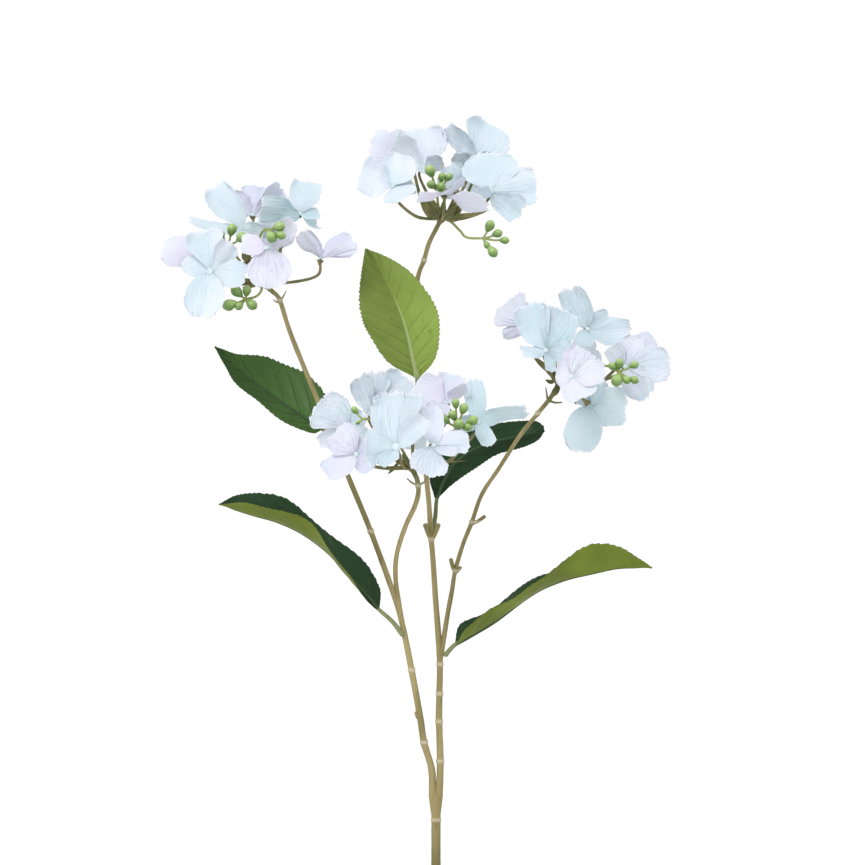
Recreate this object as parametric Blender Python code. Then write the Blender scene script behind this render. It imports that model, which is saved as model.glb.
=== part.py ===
"""A hydrangea spray growing in a plain pot: four lacecap flower heads on slender branching stems.

Run with: blender --background --python part.py
Metres, +Z up. The origin is the middle of the pot's underside, +X is to the right as the spray is looked at
from the front, and +Y points to its back. Places inside the spray are lists in millimetres, chosen by hand:
right, back, up.
"""

import math

import bpy
import bmesh
from mathutils import Matrix, Vector

MM = 0.001

# ---- driving dimensions, in metres --------------------------------------------------------------------
POT_HEIGHT = 0.120
POT_RIM_RADIUS = 0.070          # outside, at the rim band
POT_FOOT_RADIUS = 0.049         # outside, at the underside
POT_WALL = 0.005
POT_FLOOR = 0.007
POT_BAND_HEIGHT = 0.024         # the thicker band below the lip
POT_BAND_STEP = 0.003           # how far the band stands out from the wall
SOIL_BELOW_RIM = 0.015
SOIL_CROWN = 0.004              # how much higher the soil is round the stem than at the wall
ROOTED_DEPTH = 0.055            # length of trunk in the soil
CLEAR_STEM = 0.070              # from the soil to the top of the trunk, where the two main stems part
TRUNK_RADIUS = 0.0028
STEM_RADIUS = 0.0021            # of a main stem where it leaves the trunk
TWIG_RADIUS = 0.0014            # of a stem just below its flower head
PEDICEL_RADIUS = 0.0008
HUB_RADIUS = 0.0026             # the knuckle that the pedicels of a head grow from
PETAL_THICKNESS = 0.0006
PETAL_SPREAD = math.radians(50) # most that half a petal opens, seen from the eye
LEAF_THICKNESS = 0.0007
LEAF_STALK_RADIUS = 0.0013
GAP = 0.0004                    # clearance between pieces that touch

# ---- worked out from them -----------------------------------------------------------------------------
SOIL_TOP = POT_HEIGHT - SOIL_BELOW_RIM
TRUNK_TOP = SOIL_TOP + SOIL_CROWN + CLEAR_STEM
TRUNK_FOOT = SOIL_TOP + SOIL_CROWN - ROOTED_DEPTH

ROUND_SIDES = 6                 # of a stem
FINE_SIDES = 5                  # of a pedicel
SHARP_ANGLE = math.radians(50)


# ---- helpers ------------------------------------------------------------------------------------------
def spray_point(right, back, up):
    """A place in the spray, given in millimetres from the top of the trunk."""
    return Vector((right * MM, back * MM, TRUNK_TOP + up * MM))


def offset(right, back, up):
    """A step inside the spray, given in millimetres."""
    return Vector((right, back, up)) * MM


def new_material(name, colour, roughness):
    material = bpy.data.materials.new(name)
    material.use_nodes = True
    shader = material.node_tree.nodes["Principled BSDF"]
    shader.inputs["Base Color"].default_value = (*colour, 1)
    shader.inputs["Roughness"].default_value = roughness
    material.diffuse_color = (*colour, 1)
    return material


def new_object(name, mesh_data, material=None):
    """Turns a bmesh into an object of the scene."""
    mesh = bpy.data.meshes.new(name)
    mesh_data.to_mesh(mesh)
    mesh_data.free()
    mesh.shade_smooth()
    mesh.set_sharp_from_angle(angle=SHARP_ANGLE)
    obj = bpy.data.objects.new(name, mesh)
    bpy.context.scene.collection.objects.link(obj)
    if material:
        mesh.materials.append(material)
    return obj


def make_helper(obj):
    """A cutter, or a shape that a union takes in: it isn't a piece of its own."""
    obj.hide_render = True
    obj.display_type = "WIRE"
    return obj


def add_boolean(obj, other, operation, solver="EXACT"):
    modifier = obj.modifiers.new(f"{operation.lower()} {other.name}", "BOOLEAN")
    modifier.operation = operation
    modifier.object = other
    modifier.solver = solver


def smooth_path(points, steps):
    """A Catmull-Rom curve through the points, with this many stretches between each two."""
    ends = [2 * points[0] - points[1], *points, 2 * points[-1] - points[-2]]
    path = []
    for a, b, c, d in zip(ends, ends[1:], ends[2:], ends[3:]):
        for step in range(steps):
            t = step / steps
            path.append(
                0.5 * (2 * b + (c - a) * t + (2 * a - 5 * b + 4 * c - d) * t**2
                       + (3 * b - 3 * c + d - a) * t**3)
            )
    path.append(points[-1].copy())
    return path


def sweep(mesh_data, path, radii, sides):
    """Adds a closed round tube along the path, with a radius at each of its points."""
    rings = []
    tangent = (path[1] - path[0]).normalized()
    across = tangent.orthogonal().normalized()
    for i, point in enumerate(path):
        before, after = path[max(i - 1, 0)], path[min(i + 1, len(path) - 1)]
        turned = (after - before).normalized()
        across = tangent.rotation_difference(turned) @ across
        across = (across - turned * across.dot(turned)).normalized()
        tangent = turned
        up = tangent.cross(across)
        ring = []
        for k in range(sides):
            angle = 2 * math.pi * k / sides
            step = across * math.cos(angle) + up * math.sin(angle)
            ring.append(mesh_data.verts.new(point + radii[i] * step))
        rings.append(ring)
    for lower, upper in zip(rings, rings[1:]):
        for k in range(sides):
            after = (k + 1) % sides
            mesh_data.faces.new((lower[k], lower[after], upper[after], upper[k]))
    mesh_data.faces.new(reversed(rings[0]))
    mesh_data.faces.new(rings[-1])


def tube(name, points, radii, sides, steps=1, grow=0.0):
    """A tube object through the points, tapering evenly through the radii, and grown by this much."""
    path = smooth_path(points, steps) if len(points) > 2 else list(points)
    last = len(path) - 1
    along = []
    for i in range(len(path)):
        place = i / last * (len(radii) - 1)
        lower = min(int(place), len(radii) - 2)
        share = place - lower
        along.append(radii[lower] * (1 - share) + radii[lower + 1] * share + grow)
    if grow:
        # A grown copy is a cutter, so it also runs a little past both ends.
        path[0] = path[0] - (path[1] - path[0]).normalized() * grow
        path[-1] = path[-1] + (path[-1] - path[-2]).normalized() * grow
    mesh_data = bmesh.new()
    sweep(mesh_data, path, along, sides)
    return new_object(name, mesh_data)


def union_of(name, shapes, material, solver="EXACT"):
    """One solid out of several shapes that run into each other. The first becomes the object."""
    body, *others = shapes
    body.name = body.data.name = name
    body.data.materials.append(material)
    for other in others:
        add_boolean(body, make_helper(other), "UNION", solver)
    return body


def turned_solid(name, profile, segments, material):
    """A solid of revolution about Z. Its profile runs from the axis, round the outside, and back again."""
    mesh_data = bmesh.new()
    rings = []
    for radius, height in profile:
        if radius < 1e-6:
            rings.append([mesh_data.verts.new((0, 0, height))])
            continue
        angles = [2 * math.pi * k / segments for k in range(segments)]
        rings.append([
            mesh_data.verts.new((radius * math.cos(a), radius * math.sin(a), height)) for a in angles
        ])
    for lower, upper in zip(rings, rings[1:]):
        for k in range(segments):
            after = (k + 1) % segments
            corners = [lower[k % len(lower)], lower[after % len(lower)],
                       upper[after % len(upper)], upper[k % len(upper)]]
            mesh_data.faces.new(list(dict.fromkeys(corners)))
    bmesh.ops.recalc_face_normals(mesh_data, faces=mesh_data.faces)
    return new_object(name, mesh_data, material)


# ---- the pot and its soil -----------------------------------------------------------------------------
POT_SEGMENTS = 32


def inner_radius(height):
    """The pot's inside radius at a height above its underside."""
    lean = (POT_RIM_RADIUS - POT_BAND_STEP - POT_FOOT_RADIUS) / POT_HEIGHT
    return POT_FOOT_RADIUS + lean * height - POT_WALL


def make_pot(material):
    band_foot = POT_HEIGHT - POT_BAND_HEIGHT
    lip_round = POT_WALL * 0.3
    profile = [
        (0, 0),
        (POT_FOOT_RADIUS - lip_round, 0),
        (POT_FOOT_RADIUS, lip_round),
        (inner_radius(band_foot) + POT_WALL, band_foot),
        (inner_radius(band_foot) + POT_WALL + POT_BAND_STEP, band_foot + POT_BAND_STEP),
        (POT_RIM_RADIUS, POT_HEIGHT - lip_round),
        (POT_RIM_RADIUS - lip_round, POT_HEIGHT),
        (inner_radius(POT_HEIGHT) + lip_round, POT_HEIGHT),
        (inner_radius(POT_HEIGHT - lip_round), POT_HEIGHT - lip_round),
        (inner_radius(POT_FLOOR), POT_FLOOR),
        (0, POT_FLOOR),
    ]
    return turned_solid("pot", profile, POT_SEGMENTS, material)


def make_soil(material):
    """A plug of soil that fills the pot, with the trunk's hole in it."""
    foot = POT_FLOOR + GAP
    profile = [(0, foot), (inner_radius(foot) - GAP, foot), (inner_radius(SOIL_TOP) - GAP, SOIL_TOP)]
    for share in (0.75, 0.45, 0.2):
        profile.append((share * inner_radius(SOIL_TOP), SOIL_TOP + SOIL_CROWN * (1 - share**2)))
    profile.append((0, SOIL_TOP + SOIL_CROWN))
    soil = turned_solid("soil", profile, POT_SEGMENTS, material)
    add_boolean(soil, make_helper(trunk_shape("trunk_hole", grow=GAP)), "DIFFERENCE")
    return soil


# ---- stems --------------------------------------------------------------------------------------------
# Each stem's route, in millimetres from the top of the trunk.
LEFT_STEM = [
    (-2.1, 0, 0), (-2.5, 0, 16), (-6.9, -1, 32), (-9.2, -2, 47), (-13.9, -3, 73), (-18.5, -4, 96),
    (-23.1, -5, 114), (-37.6, -6, 154), (-50.3, -7, 185), (-65.9, -9, 224), (-75.7, -10, 248),
    (-84.4, -11, 270), (-89.8, -12, 287), (-94, -12, 292), (-98, -12, 295),
]
CENTRE_STEM = [
    (-19.2, -4.5, 99), (-21, -8, 111), (-23, -16, 125), (-23, -22, 137), (-21, -28, 147), (-16.8, -34, 159),
    (-12.1, -40, 169), (-10, -44, 177), (-10.6, -47, 184), (-12, -48, 187.4),
]
MIDDLE_STEM = [
    (1.9, 0, 0), (2.5, 0, 21), (1.8, 0, 44), (2, 0, 60), (2.3, 1, 77), (1.2, 2, 96), (-0.2, 4, 114),
    (-1.7, 7, 137), (-2.9, 9, 151), (-4, 11, 169), (-5.4, 13, 183), (-8, 16, 212), (-10.4, 17, 241),
    (-12.4, 16, 270), (-10.8, 13, 299), (-7, 12, 311), (-4, 11, 321), (0, 10, 329), (1.6, 10, 332),
]
RIGHT_STEM = [
    (2.6, 1, 80), (4.4, 2, 91), (6.6, 3, 105), (9.2, 4, 119), (11.2, 5, 131), (15.6, 6, 146),
    (20.8, 7, 159), (26.6, 8, 175), (36.4, 8, 190), (48.6, 8, 209), (59, 7, 222), (65.6, 6, 230),
    (68.2, 5, 234), (69.6, 5, 236.4),
]

# Side shoots of a stem: where each starts, where it ends, and its radii there, in millimetres.
LEFT_SHOOTS = [
    ((-9.6, -2, 46), (-11.6, -3.4, 49.5), 1.5, 1.0),
    ((-90, -12, 286), (-93.6, -13, 287.4), 0.8, 0.3),
    ((-89.6, -12, 287), (-86, -13, 292.5), 0.7, 0.25),
]
CENTRE_SHOOTS = [
    ((-10.3, -46, 181), (-16.4, -49, 185), 0.8, 0.3),
    ((-10.3, -46, 181), (-5.2, -49, 184.6), 0.8, 0.3),
]
MIDDLE_SHOOTS = [
    ((-2.6, 9, 148), (-6.2, 5, 157.5), 1.2, 1.5),
    ((-2.6, 9, 148), (1.4, 6, 157.5), 1.2, 1.5),
]
RIGHT_SHOOTS = [
    ((11, 5, 129.5), (8.6, 2, 137.5), 1.1, 1.3),
    ((11.2, 5, 130), (14.2, 3, 133), 1.0, 1.0),
    ((20.4, 7, 158), (28.2, 4, 162.4), 1.1, 1.1),
    ((65, 6, 229), (63.6, 4, 237), 0.8, 0.3),
    ((65.4, 6, 229.4), (73, 3, 228.4), 0.8, 0.4),
]
# Each stem: its route, its side shoots, its radii along the route, and its rings, where one year's growth
# ends, as the numbers of the points of the route that they are at.
STEMS = {
    "left_stem": (
        LEFT_STEM, LEFT_SHOOTS, (STEM_RADIUS, STEM_RADIUS * 0.85, TWIG_RADIUS), (2, 12)
    ),
    "centre_stem": (
        CENTRE_STEM, CENTRE_SHOOTS, (TWIG_RADIUS, TWIG_RADIUS), ()
    ),
    "middle_stem": (
        MIDDLE_STEM, MIDDLE_SHOOTS, (STEM_RADIUS, STEM_RADIUS * 0.75, TWIG_RADIUS), (2, 3, 4, 16)
    ),
    "right_stem": (
        RIGHT_STEM, RIGHT_SHOOTS, (STEM_RADIUS * 0.75, TWIG_RADIUS, TWIG_RADIUS * 1.1), ()
    ),
}
RING_HALF_HEIGHT = 0.0007
RING_PROUD = 0.0004


def stem_body(name, grow=0.0):
    """A stem without its shoots. The same shape, grown, cuts what is seated on it."""
    route, _, radii, _ = STEMS[name]
    return tube(name, [spray_point(*p) for p in route], radii, ROUND_SIDES, grow=grow)


def stem_cutter(name):
    return make_helper(stem_body(name, grow=GAP))


def make_stem(name, material, cut_by=()):
    route, shoots, radii, rings = STEMS[name]
    shapes = [stem_body(name)]
    points = [spray_point(*p) for p in route]
    for number, (start, end, thick, thin) in enumerate(shoots):
        line = [spray_point(*start), spray_point(*end)]
        shapes.append(tube(f"{name}_shoot_{number}", line, (thick * MM, thin * MM), FINE_SIDES))
    for place in rings:
        along = (points[place + 1] - points[place - 1]).normalized() * RING_HALF_HEIGHT
        share = place / (len(points) - 1) * (len(radii) - 1)
        lower = min(int(share), len(radii) - 2)
        radius = radii[lower] + (radii[lower + 1] - radii[lower]) * (share - lower) + RING_PROUD
        line = [points[place] - along, points[place] + along]
        shapes.append(tube(f"{name}_ring_{place}", line, (radius, radius), ROUND_SIDES))
    stem = union_of(name, shapes, material)
    for cutter in cut_by:
        add_boolean(stem, cutter, "DIFFERENCE")
    return stem


def trunk_shape(name, grow=0.0):
    """The trunk without its ring. The same shape, grown, is its hole in the soil."""
    line = [Vector((0, 0, TRUNK_FOOT)), Vector((0, 0, TRUNK_TOP - GAP - RING_HALF_HEIGHT / 2))]
    return tube(name, line, (TRUNK_RADIUS, TRUNK_RADIUS), ROUND_SIDES * 2, grow=grow)


def make_trunk(material):
    ring_top = Vector((0, 0, TRUNK_TOP - GAP))
    ring_foot = ring_top - Vector((0, 0, 2 * RING_HALF_HEIGHT))
    radius = TRUNK_RADIUS + RING_PROUD * 2
    ring = tube("trunk_ring", [ring_foot, ring_top], (radius, radius), ROUND_SIDES * 2)
    return union_of("trunk", [trunk_shape("trunk"), ring], material)


# ---- leaves -------------------------------------------------------------------------------------------
# Each leaf: the stem that it grows on, its stalk's route, and its blade from base to tip. A station of the
# blade is a place on the midrib and the steps from there to its two edges. In millimetres.
LEAVES = {
    "leaf_upright": dict(
        stem="middle_stem",
        stalk=[(-10.6, 12.5, 238.5), (-10.4, 10.5, 241), (-11, 9.5, 243.5)],
        blade=[
            ((-11, 9.5, 243.5), (-2, 0, 0), (2, 0, 0)),
            ((-13.3, 7, 253.7), (-15, -2, -1.5), (13, -5, 0)),
            ((-16.2, 4.5, 267), (-23, -3, 0.5), (19, -7, 3)),
            ((-20.8, 2.5, 281.5), (-23, -3, -3), (21, -7, 3)),
            ((-27.7, 1.5, 296), (-17, -2, -4), (17, -6, 4)),
            ((-34, 3, 307.5), (-9, -1, -2), (9, -3, 3.5)),
            ((-40.5, 5, 317.3), (-0.5, 0, 0), (0.5, 0, 0)),
        ],
    ),
    "leaf_left": dict(
        stem="left_stem",
        stalk=[(-58.5, -3.5, 206), (-61.5, 0, 209), (-66, 2, 213.3)],
        blade=[
            ((-66, 2, 213.3), (-1, -2, -1), (1, 2, 1)),
            ((-71.7, 4, 216.8), (-1, -8, -6), (9, 4, 14)),
            ((-85, 8, 225.4), (-4, -12, -7), (8.5, 8, 21)),
            ((-99.4, 12, 235.8), (-5, -11, -6), (7, 8, 18)),
            ((-113.3, 14, 246.2), (-3.5, -7, -5), (4, 5, 10.5)),
            ((-121, 14.5, 254), (-2, -3, -3.5), (2, 2, 4)),
            ((-128.3, 15, 261.3), (0, -0.5, 0), (0, 0.5, 0)),
        ],
    ),
    "leaf_back_right": dict(
        stem="middle_stem",
        stalk=[(-2, 12.5, 152), (-0.4, 16.5, 162), (0.6, 19.5, 172.8)],
        blade=[
            ((0.6, 19.5, 172.8), (1, 1, 0), (-1, -1, 0)),
            ((4, 22, 182), (4, 2, -3), (-8, -2, 6)),
            ((10.4, 25, 192.5), (6, 2, -7.5), (-9, -2, 13)),
            ((20.8, 30, 200.5), (5, 3, -9), (-6, -2, 14.5)),
            ((34, 34, 205.8), (3, 3, -8), (-3, -2, 10.5)),
            ((48.6, 37, 209), (2, 3, -7), (-1, -1, 8.5)),
            ((58.4, 38, 211.5), (1.5, 2, -5.5), (0, 0, 6.5)),
            ((63.6, 38.5, 213.3), (0.5, 0, -1.5), (0, 0, 1.5)),
        ],
    ),
    "leaf_low_left": dict(
        stem="left_stem",
        stalk=[(-19.4, -6.4, 94.5), (-25, -9, 102), (-33.5, -10, 109.8)],
        blade=[
            ((-33.5, -10, 109.8), (-1, -2, 0), (1.5, 1, 1)),
            ((-39.9, -13, 117.3), (-2, -9, 1), (8, 8, 5)),
            ((-49.7, -17, 128.3), (-1, -13, 4), (10, 11, 7)),
            ((-61.3, -22, 141.6), (1, -15, 5), (6, 14, 7)),
            ((-75.7, -26, 152.6), (4, -14, 7.5), (4, 14, 11)),
            ((-90.2, -28, 159.5), (2, -13, 8.5), (3, 10, 14)),
            ((-104.6, -29, 163.6), (1, -10, 7.5), (1.5, 8, 14)),
            ((-115, -28.5, 166.8), (0.5, -6, 4.5), (1, 5, 9)),
            ((-123.7, -28, 170.5), (0, -0.5, 0), (0, 0.5, 0)),
        ],
    ),
    "leaf_low_right": dict(
        stem="middle_stem",
        stalk=[(5.6, -1.2, 82.5), (7.5, -3, 85), (11.6, -5, 89)],
        blade=[
            ((11.6, -5, 89), (0, -2, 0.5), (-1, 2, 0)),
            ((20.8, -8, 94.2), (-4, -10, 5), (-7, 9, 6)),
            ((34.1, -12, 102.3), (-5, -13, 8), (-5, 14, 5)),
            ((48.6, -16, 113.3), (-3, -16, 4), (-3, 16, 8)),
            ((60.1, -19, 120.8), (-4, -16, 6), (-3, 15, 6)),
            ((74.6, -21, 126.6), (-3, -12, 12), (-4, 15, 5)),
            ((89, -22, 130), (-1, -9, 17), (-1, 15, 6)),
            ((103.5, -22, 133), (1, -7, 14), (1, 13, 5)),
            ((115, -21.5, 133.5), (1, -4, 6.5), (1, 7, 3)),
            ((123.7, -21, 134), (0, -0.5, 0), (0, 0.5, 0)),
        ],
    ),
}
LEAF_COLUMNS = 2                 # on each side of the midrib


def make_blade(name, stations):
    """A closed leaf blade: two halves that run from the midrib to the two edges."""
    mesh_data = bmesh.new()
    rows = []
    for midrib, one_edge, other_edge in stations:
        row = []
        for step in range(-LEAF_COLUMNS, LEAF_COLUMNS + 1):
            reach = offset(*(one_edge if step < 0 else other_edge))
            row.append(mesh_data.verts.new(spray_point(*midrib) + reach * abs(step) / LEAF_COLUMNS))
        rows.append(row)
    for lower, upper in zip(rows, rows[1:]):
        for k in range(2 * LEAF_COLUMNS):
            mesh_data.faces.new((lower[k], lower[k + 1], upper[k + 1], upper[k]))
    blade = new_object(name, mesh_data)
    skin = blade.modifiers.new("thickness", "SOLIDIFY")
    skin.thickness = LEAF_THICKNESS
    skin.offset = 0
    return blade


def make_leaf(name, stem, stalk, blade, material):
    """One leaf: its blade and the stalk that carries on as its midrib."""
    route = [spray_point(*p) for p in stalk] + [spray_point(*midrib) for midrib, _, _ in blade[1:4]]
    radii = [LEAF_STALK_RADIUS * share for share in (1.2, 1.0, 0.9, 0.7, 0.5)]
    stalk_tube = tube(f"{name}_stalk", route, radii, FINE_SIDES)
    leaf = union_of(name, [make_blade(name, blade), stalk_tube], material)
    add_boolean(leaf, stem_cutter(stem), "DIFFERENCE")
    return leaf


# ---- flower heads -------------------------------------------------------------------------------------
# Each head: its hub, where its pedicels part, and its florets. Each floret is the place of its eye from the
# hub and its petals. A petal is the place of its tip from the eye, and the step from its middle line to its
# edge where it is widest. In millimetres: right, back, up.
HEADS = {
    "top": dict(stem="middle_stem", hub=(3, 10, 335), florets=[
        ((-28, -14, 18), [((-19, -2, 7), (3, 2, 10)), ((6, 5, 19), (10, -1, -2)),
                          ((13, 10, 4), (-2, 4, 6)), ((7, -10, -8), (10, 1, 3))]),
        ((-10, 12, 31), [((-3, 7, 24), (15, 0, 1)), ((-19, -5, 12), (5, 1, 8)),
                         ((11, -1, 3), (1, -4, 5)), ((3, -10, -4), (5, 1, -1))]),
        ((19, 8, 34), [((11, 8, 23), (14, 2, -5)), ((-14, 5, 22), (5, -6, 2)),
                       ((-12, -7, 3), (1, -5, 3)), ((14, -4, -2), (-1, -5, 6))]),
        ((29, -14, 15), [((-1, 6, 23), (15, -2, 4)), ((26, 1, 2), (-1, 4, 11)),
                         ((17, -7, -12), (5, -3, 6)), ((-9, -8, -1), (1, -4, 3))]),
        ((2, -26, 13), [((-16, -2, -3), (1, -7, 2)), ((26, -4, -6), (2, -8, 5)),
                        ((11, 10, 6), (4, -2, 4)), ((0, -12, -1), (5, 0, 0))]),
        ((8, 10, 17), [((-4, 8, 15), (8, -2, 1)), ((5, 9, 9), (3, -2, 5)),
                       ((-9, 8, 0), (1, -3, 4)), ((0, 12, -4), (5, 1, 1))]),
        ((-24, 28, 42), [((-17, -2, 4), (2, 2, 9)), ((-4, 8, 12), (8, 1, 2)),
                         ((12, 8, 2), (1, -2, 7)), ((-2, 10, -12), (7, 2, 2))]),
        ((20, 32, 30), [((16, 4, 10), (-3, 0, 8)), ((-10, 6, 12), (6, 0, 5)),
                        ((4, 12, -12), (8, 1, 2)), ((-8, 8, -6), (-3, 1, 5))]),
    ]),
    "left": dict(stem="left_stem", hub=(-101, -12, 297), florets=[
        ((-28, -16, 6), [((-3, 5, 24), (11, -1, 1)), ((12, 2, 16), (6, 3, -3)), ((21, -5, -2), (4, -3, -8)),
                         ((-5, -5, -27), (11, 0, -1)), ((-16, 6, 7), (2, 2, 6))]),
        ((-11, 0, 31), [((-15, 6, 26), (7, -3, 4)), ((-29, 2, 6), (1, -6, -3.5)),
                        ((13, 0, -2), (1, -3, 4.5)), ((4, -9, -7), (4.5, 1, 0))]),
        ((-5, 14, 40), [((3, 8, 17), (10, 0, 2)), ((17, 6, 16), (4, 2, -5)),
                        ((-15, 2, 11), (4, -3, 5)), ((13, -2, 7), (-2, -2, 4))]),
        ((23, 2, 40), [((-22, -14, 0), (1, -5, 6.5)), ((4, 8, 20), (8.5, 0, -1)),
                       ((11, -9, -2), (2, -4, -3)), ((8, 16, -4), (-2, 3, 6))]),
        ((5, -30, 19), [((3, -6, -23), (12, 0, 1)), ((-14.5, -2, 3), (1, 2, 6)),
                        ((15, 4, 15), (5, 2, -4)), ((-1, 5, 6), (4, -1, 0))]),
        ((35, -6, 14), [((-12, -6, 13), (3, -5, 3)), ((-8, 6, 16), (3, -2, 1.5)),
                        ((19, 6, 10), (-3, 3, 6.5)), ((20, -8, 6), (1, -5, 2))]),
        ((-38, 8, 16), [((-19, 0, 5), (2, 2, 9)), ((4, 10, 14), (7, 1, -1)),
                        ((10, 10, -4), (1, 1, 6)), ((2, 12, -8), (6, 1, 1))]),
        ((3, 34, 26), [((-14, 8, 6), (1, 0, 7)), ((14, 8, 6), (-1, 0, 7)),
                       ((0, 10, 14), (7, 0, 0)), ((1, 14, -12), (7, 1, 0))]),
    ]),
    "right": dict(stem="right_stem", hub=(72, 5, 240), florets=[
        ((-9, -22, 18), [((-9, 4, 27), (9, -3, 4)), ((9, 2, 24), (11, -1, -4)), ((13, -7, -1), (2, 3, 7)),
                         ((-14, -7, 1), (1, -5, -3)), ((4, -7, -12), (2.5, -1, 1))]),
        ((-19, 4, 33), [((-13, 2, 13), (7, 2, 10)), ((-14, 2, -6), (2, -1, 5)),
                        ((2, 10, 12), (7, 1, 0)), ((10, 10, -3), (1, 1, 6))]),
        ((16, 4, 31), [((-10, 6, 24), (7, -2, 3)), ((25, 4, -2), (2, 3, 8)),
                       ((13, 10, 9), (-2, 2, 5)), ((-4, -8, -11), (6, 0, 0))]),
        ((37, -10, 9), [((7, 5, 17), (8, 0, -2)), ((26, 0, 2), (-1, 4, 10)),
                        ((-8, 3, 12), (5, 0, 3)), ((13, -4, -18), (7, 0, 5))]),
        ((5, -40, 3), [((8, 5, 16), (8, 0, -4)), ((19, -2, 2), (0, 3, 7)),
                       ((6, -6, -13), (11, 0, -2)), ((-9, -2, 1), (2, 2, 7))]),
        ((16, -14, -13), [((-6, 3, -27), (10.5, 0, -1)), ((22, -1, -2), (1, -3, 11)),
                          ((8, -3, 14), (5, 1, -2)), ((-6, 6, 8), (4, 0, 3))]),
        ((44, 18, 18), [((11, 2, 9), (-4, 0, 5)), ((0, 8, 10), (6, 0, 0)),
                        ((14, 6, -6), (1, 0, 6)), ((-2, 10, -12), (6, 1, 0))]),
        ((14, 30, 13), [((2, 8, 14), (7, 0, 0)), ((-14, 8, 4), (1, 0, 7)),
                        ((3, 10, -12), (7, 1, 0)), ((11, 10, 3), (-1, 1, 5))]),
    ]),
    "centre": dict(stem="centre_stem", hub=(-13.3, -48, 191), florets=[
        ((-9, -30, 12), [((2, 8, 30), (15, -2, 2)), ((15, -5, 17), (4, 2, -6)),
                         ((-17, -8, -3), (-1, 3, 12)), ((-8, -9, -11), (4, -2, -3))]),
        ((-35, -10, 23), [((-19, 0, 12), (5, 3, 11)), ((-18, 2, -9), (2, -1, 6)),
                          ((7, 4, 8), (4, 0, -3)), ((8, -10, -6), (4, 1, 4))]),
        ((-22, 10, 32), [((-8, -1, 20), (7, -1, 3)), ((1, 8, 23), (8.5, 0, 0)),
                         ((19, 6, 19), (9, -1, -7)), ((-2, -10, -2), (5, 0, 0))]),
        ((-31, -30, 8), [((-13, 3, 13), (6, 2, 7)), ((-18, -6, -11), (-3, 3, 6)),
                         ((6, 6, 8), (4, 0, -3)), ((8, 2, -9), (4, 0, 4))]),
        ((19, 4, 37), [((-17, 2, 11), (5, 3, 8)), ((4, 8, 17), (8, 0, -1)),
                       ((11, -5, 10), (-2, -3, 3)), ((-7, -12, -5), (5, -1, -4))]),
        ((12, -26, 13), [((-4, -7, -17), (10, 0, -3)), ((-1, 5, 21), (6, 0, 1)),
                         ((20, -2, 1), (-1, 3, 7)), ((14, -10, -5), (3, 1, 2))]),
        ((37, 0, 26), [((-3, 6, 25), (6, -1, 0)), ((28, -4, 7), (-1, -5, 4)),
                       ((7, -6, -13), (4.5, 1, 1)), ((-14, -3, -3), (0, -3, 5))]),
        ((0, 30, 25), [((-16, 8, 3), (1, 0, 7)), ((0, 12, 16), (7, 0, 0)),
                       ((16, 8, 2), (1, 0, 7)), ((1, 14, -14), (7, 0, 0))]),
    ]),
}
BUD_SPRAYS = {
    "top": [
        ([(-2, -4, 10), (-2, -6, 16)],
         [(-6.5, -12, 27.4, 3.1), (0.5, -9, 23.9, 2.3), (4.7, -9, 23.9, 2.2), (-5.9, -11, 19.3, 2.5),
          (-0.1, -9, 18, 2.9)]),
        ([(5.1, -4, -1.5), (10.9, -8, -7.3), (14.9, -10, -11.3), (24.2, -12, -11.9)],
         [(28.2, -13, -4.4, 2.9), (32.8, -12, -9, 2.5), (36.9, -13, -13.1, 2.3), (26.5, -12, -15.9, 2),
          (29.9, -13, -20, 2.9)]),
    ],
    "left": [
        ([(-8, -4, 8), (-18, -9, 21)],
         [(-15.7, -10, 30.5, 2.9), (-9.5, -15, 25.5, 3.1), (-21.5, -11, 27.6, 1.7)]),
        ([(-2, -14, 17), (1.5, -22, 27), (4.5, -29, 29.5)],
         [(12.6, -34, 30.5, 2.9), (8, -33, 24.5, 3.1), (13.5, -35, 25.5, 2.5)]),
        ([(1, -5, -4), (-1.9, -8, -8), (-8, -10, -9.7)],
         [(-13.4, -10, -5.1, 3.1), (-7.1, -11, -4.5, 2.6), (-17.5, -12, -13.2, 3.4),
          (-11.7, -12, -13.8, 2.3), (-4.2, -11, -13, 3)]),
    ],
    "right": [
        ([(13, -5, 5), (25, -10, 9.5), (32.5, -21, 6)],
         [(33.2, -22, 10.8, 2.6), (29, -22, 9.1, 2.2), (41.9, -23, 9.8, 2.3), (31.5, -25, 0.6, 3.3),
          (37.2, -25, 1, 2.3), (41.8, -25, 1, 2.3)]),
        ([(-4, -4, 14), (-9, -12, 25)],
         [(-10.2, -14, 28.5, 2)]),
    ],
    "centre": [
        ([(-12, -10, 20), (-22, -16, 27), (-28, -20, 27.5)],
         [(-32.4, -19, 32.7, 2), (-30.5, -20, 25.5, 1.2)]),
        ([(10, -5, 10), (22.5, -12, 17), (25, -16, 23)],
         [(24.3, -17, 36.7, 2.3), (28.9, -16, 33.8, 2.6), (17.3, -18, 27.6, 2.9), (22.5, -18, 30, 2.3),
          (26, -19, 24.6, 3.1), (31, -17, 22.9, 2.3), (34.1, -16, 26.8, 2.8)]),
    ],
}
PEDICEL_OUT = 0.4                # how much further out the flattest pedicels run before they turn up
PEDICEL_RISE = 0.4               # how much of its height the steepest one has gained by then
BUD_STALK_RADIUS = 0.0006
BUD_SIDES = 6
BUD_RINGS = 4
PETAL_COLUMNS = 3
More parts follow.
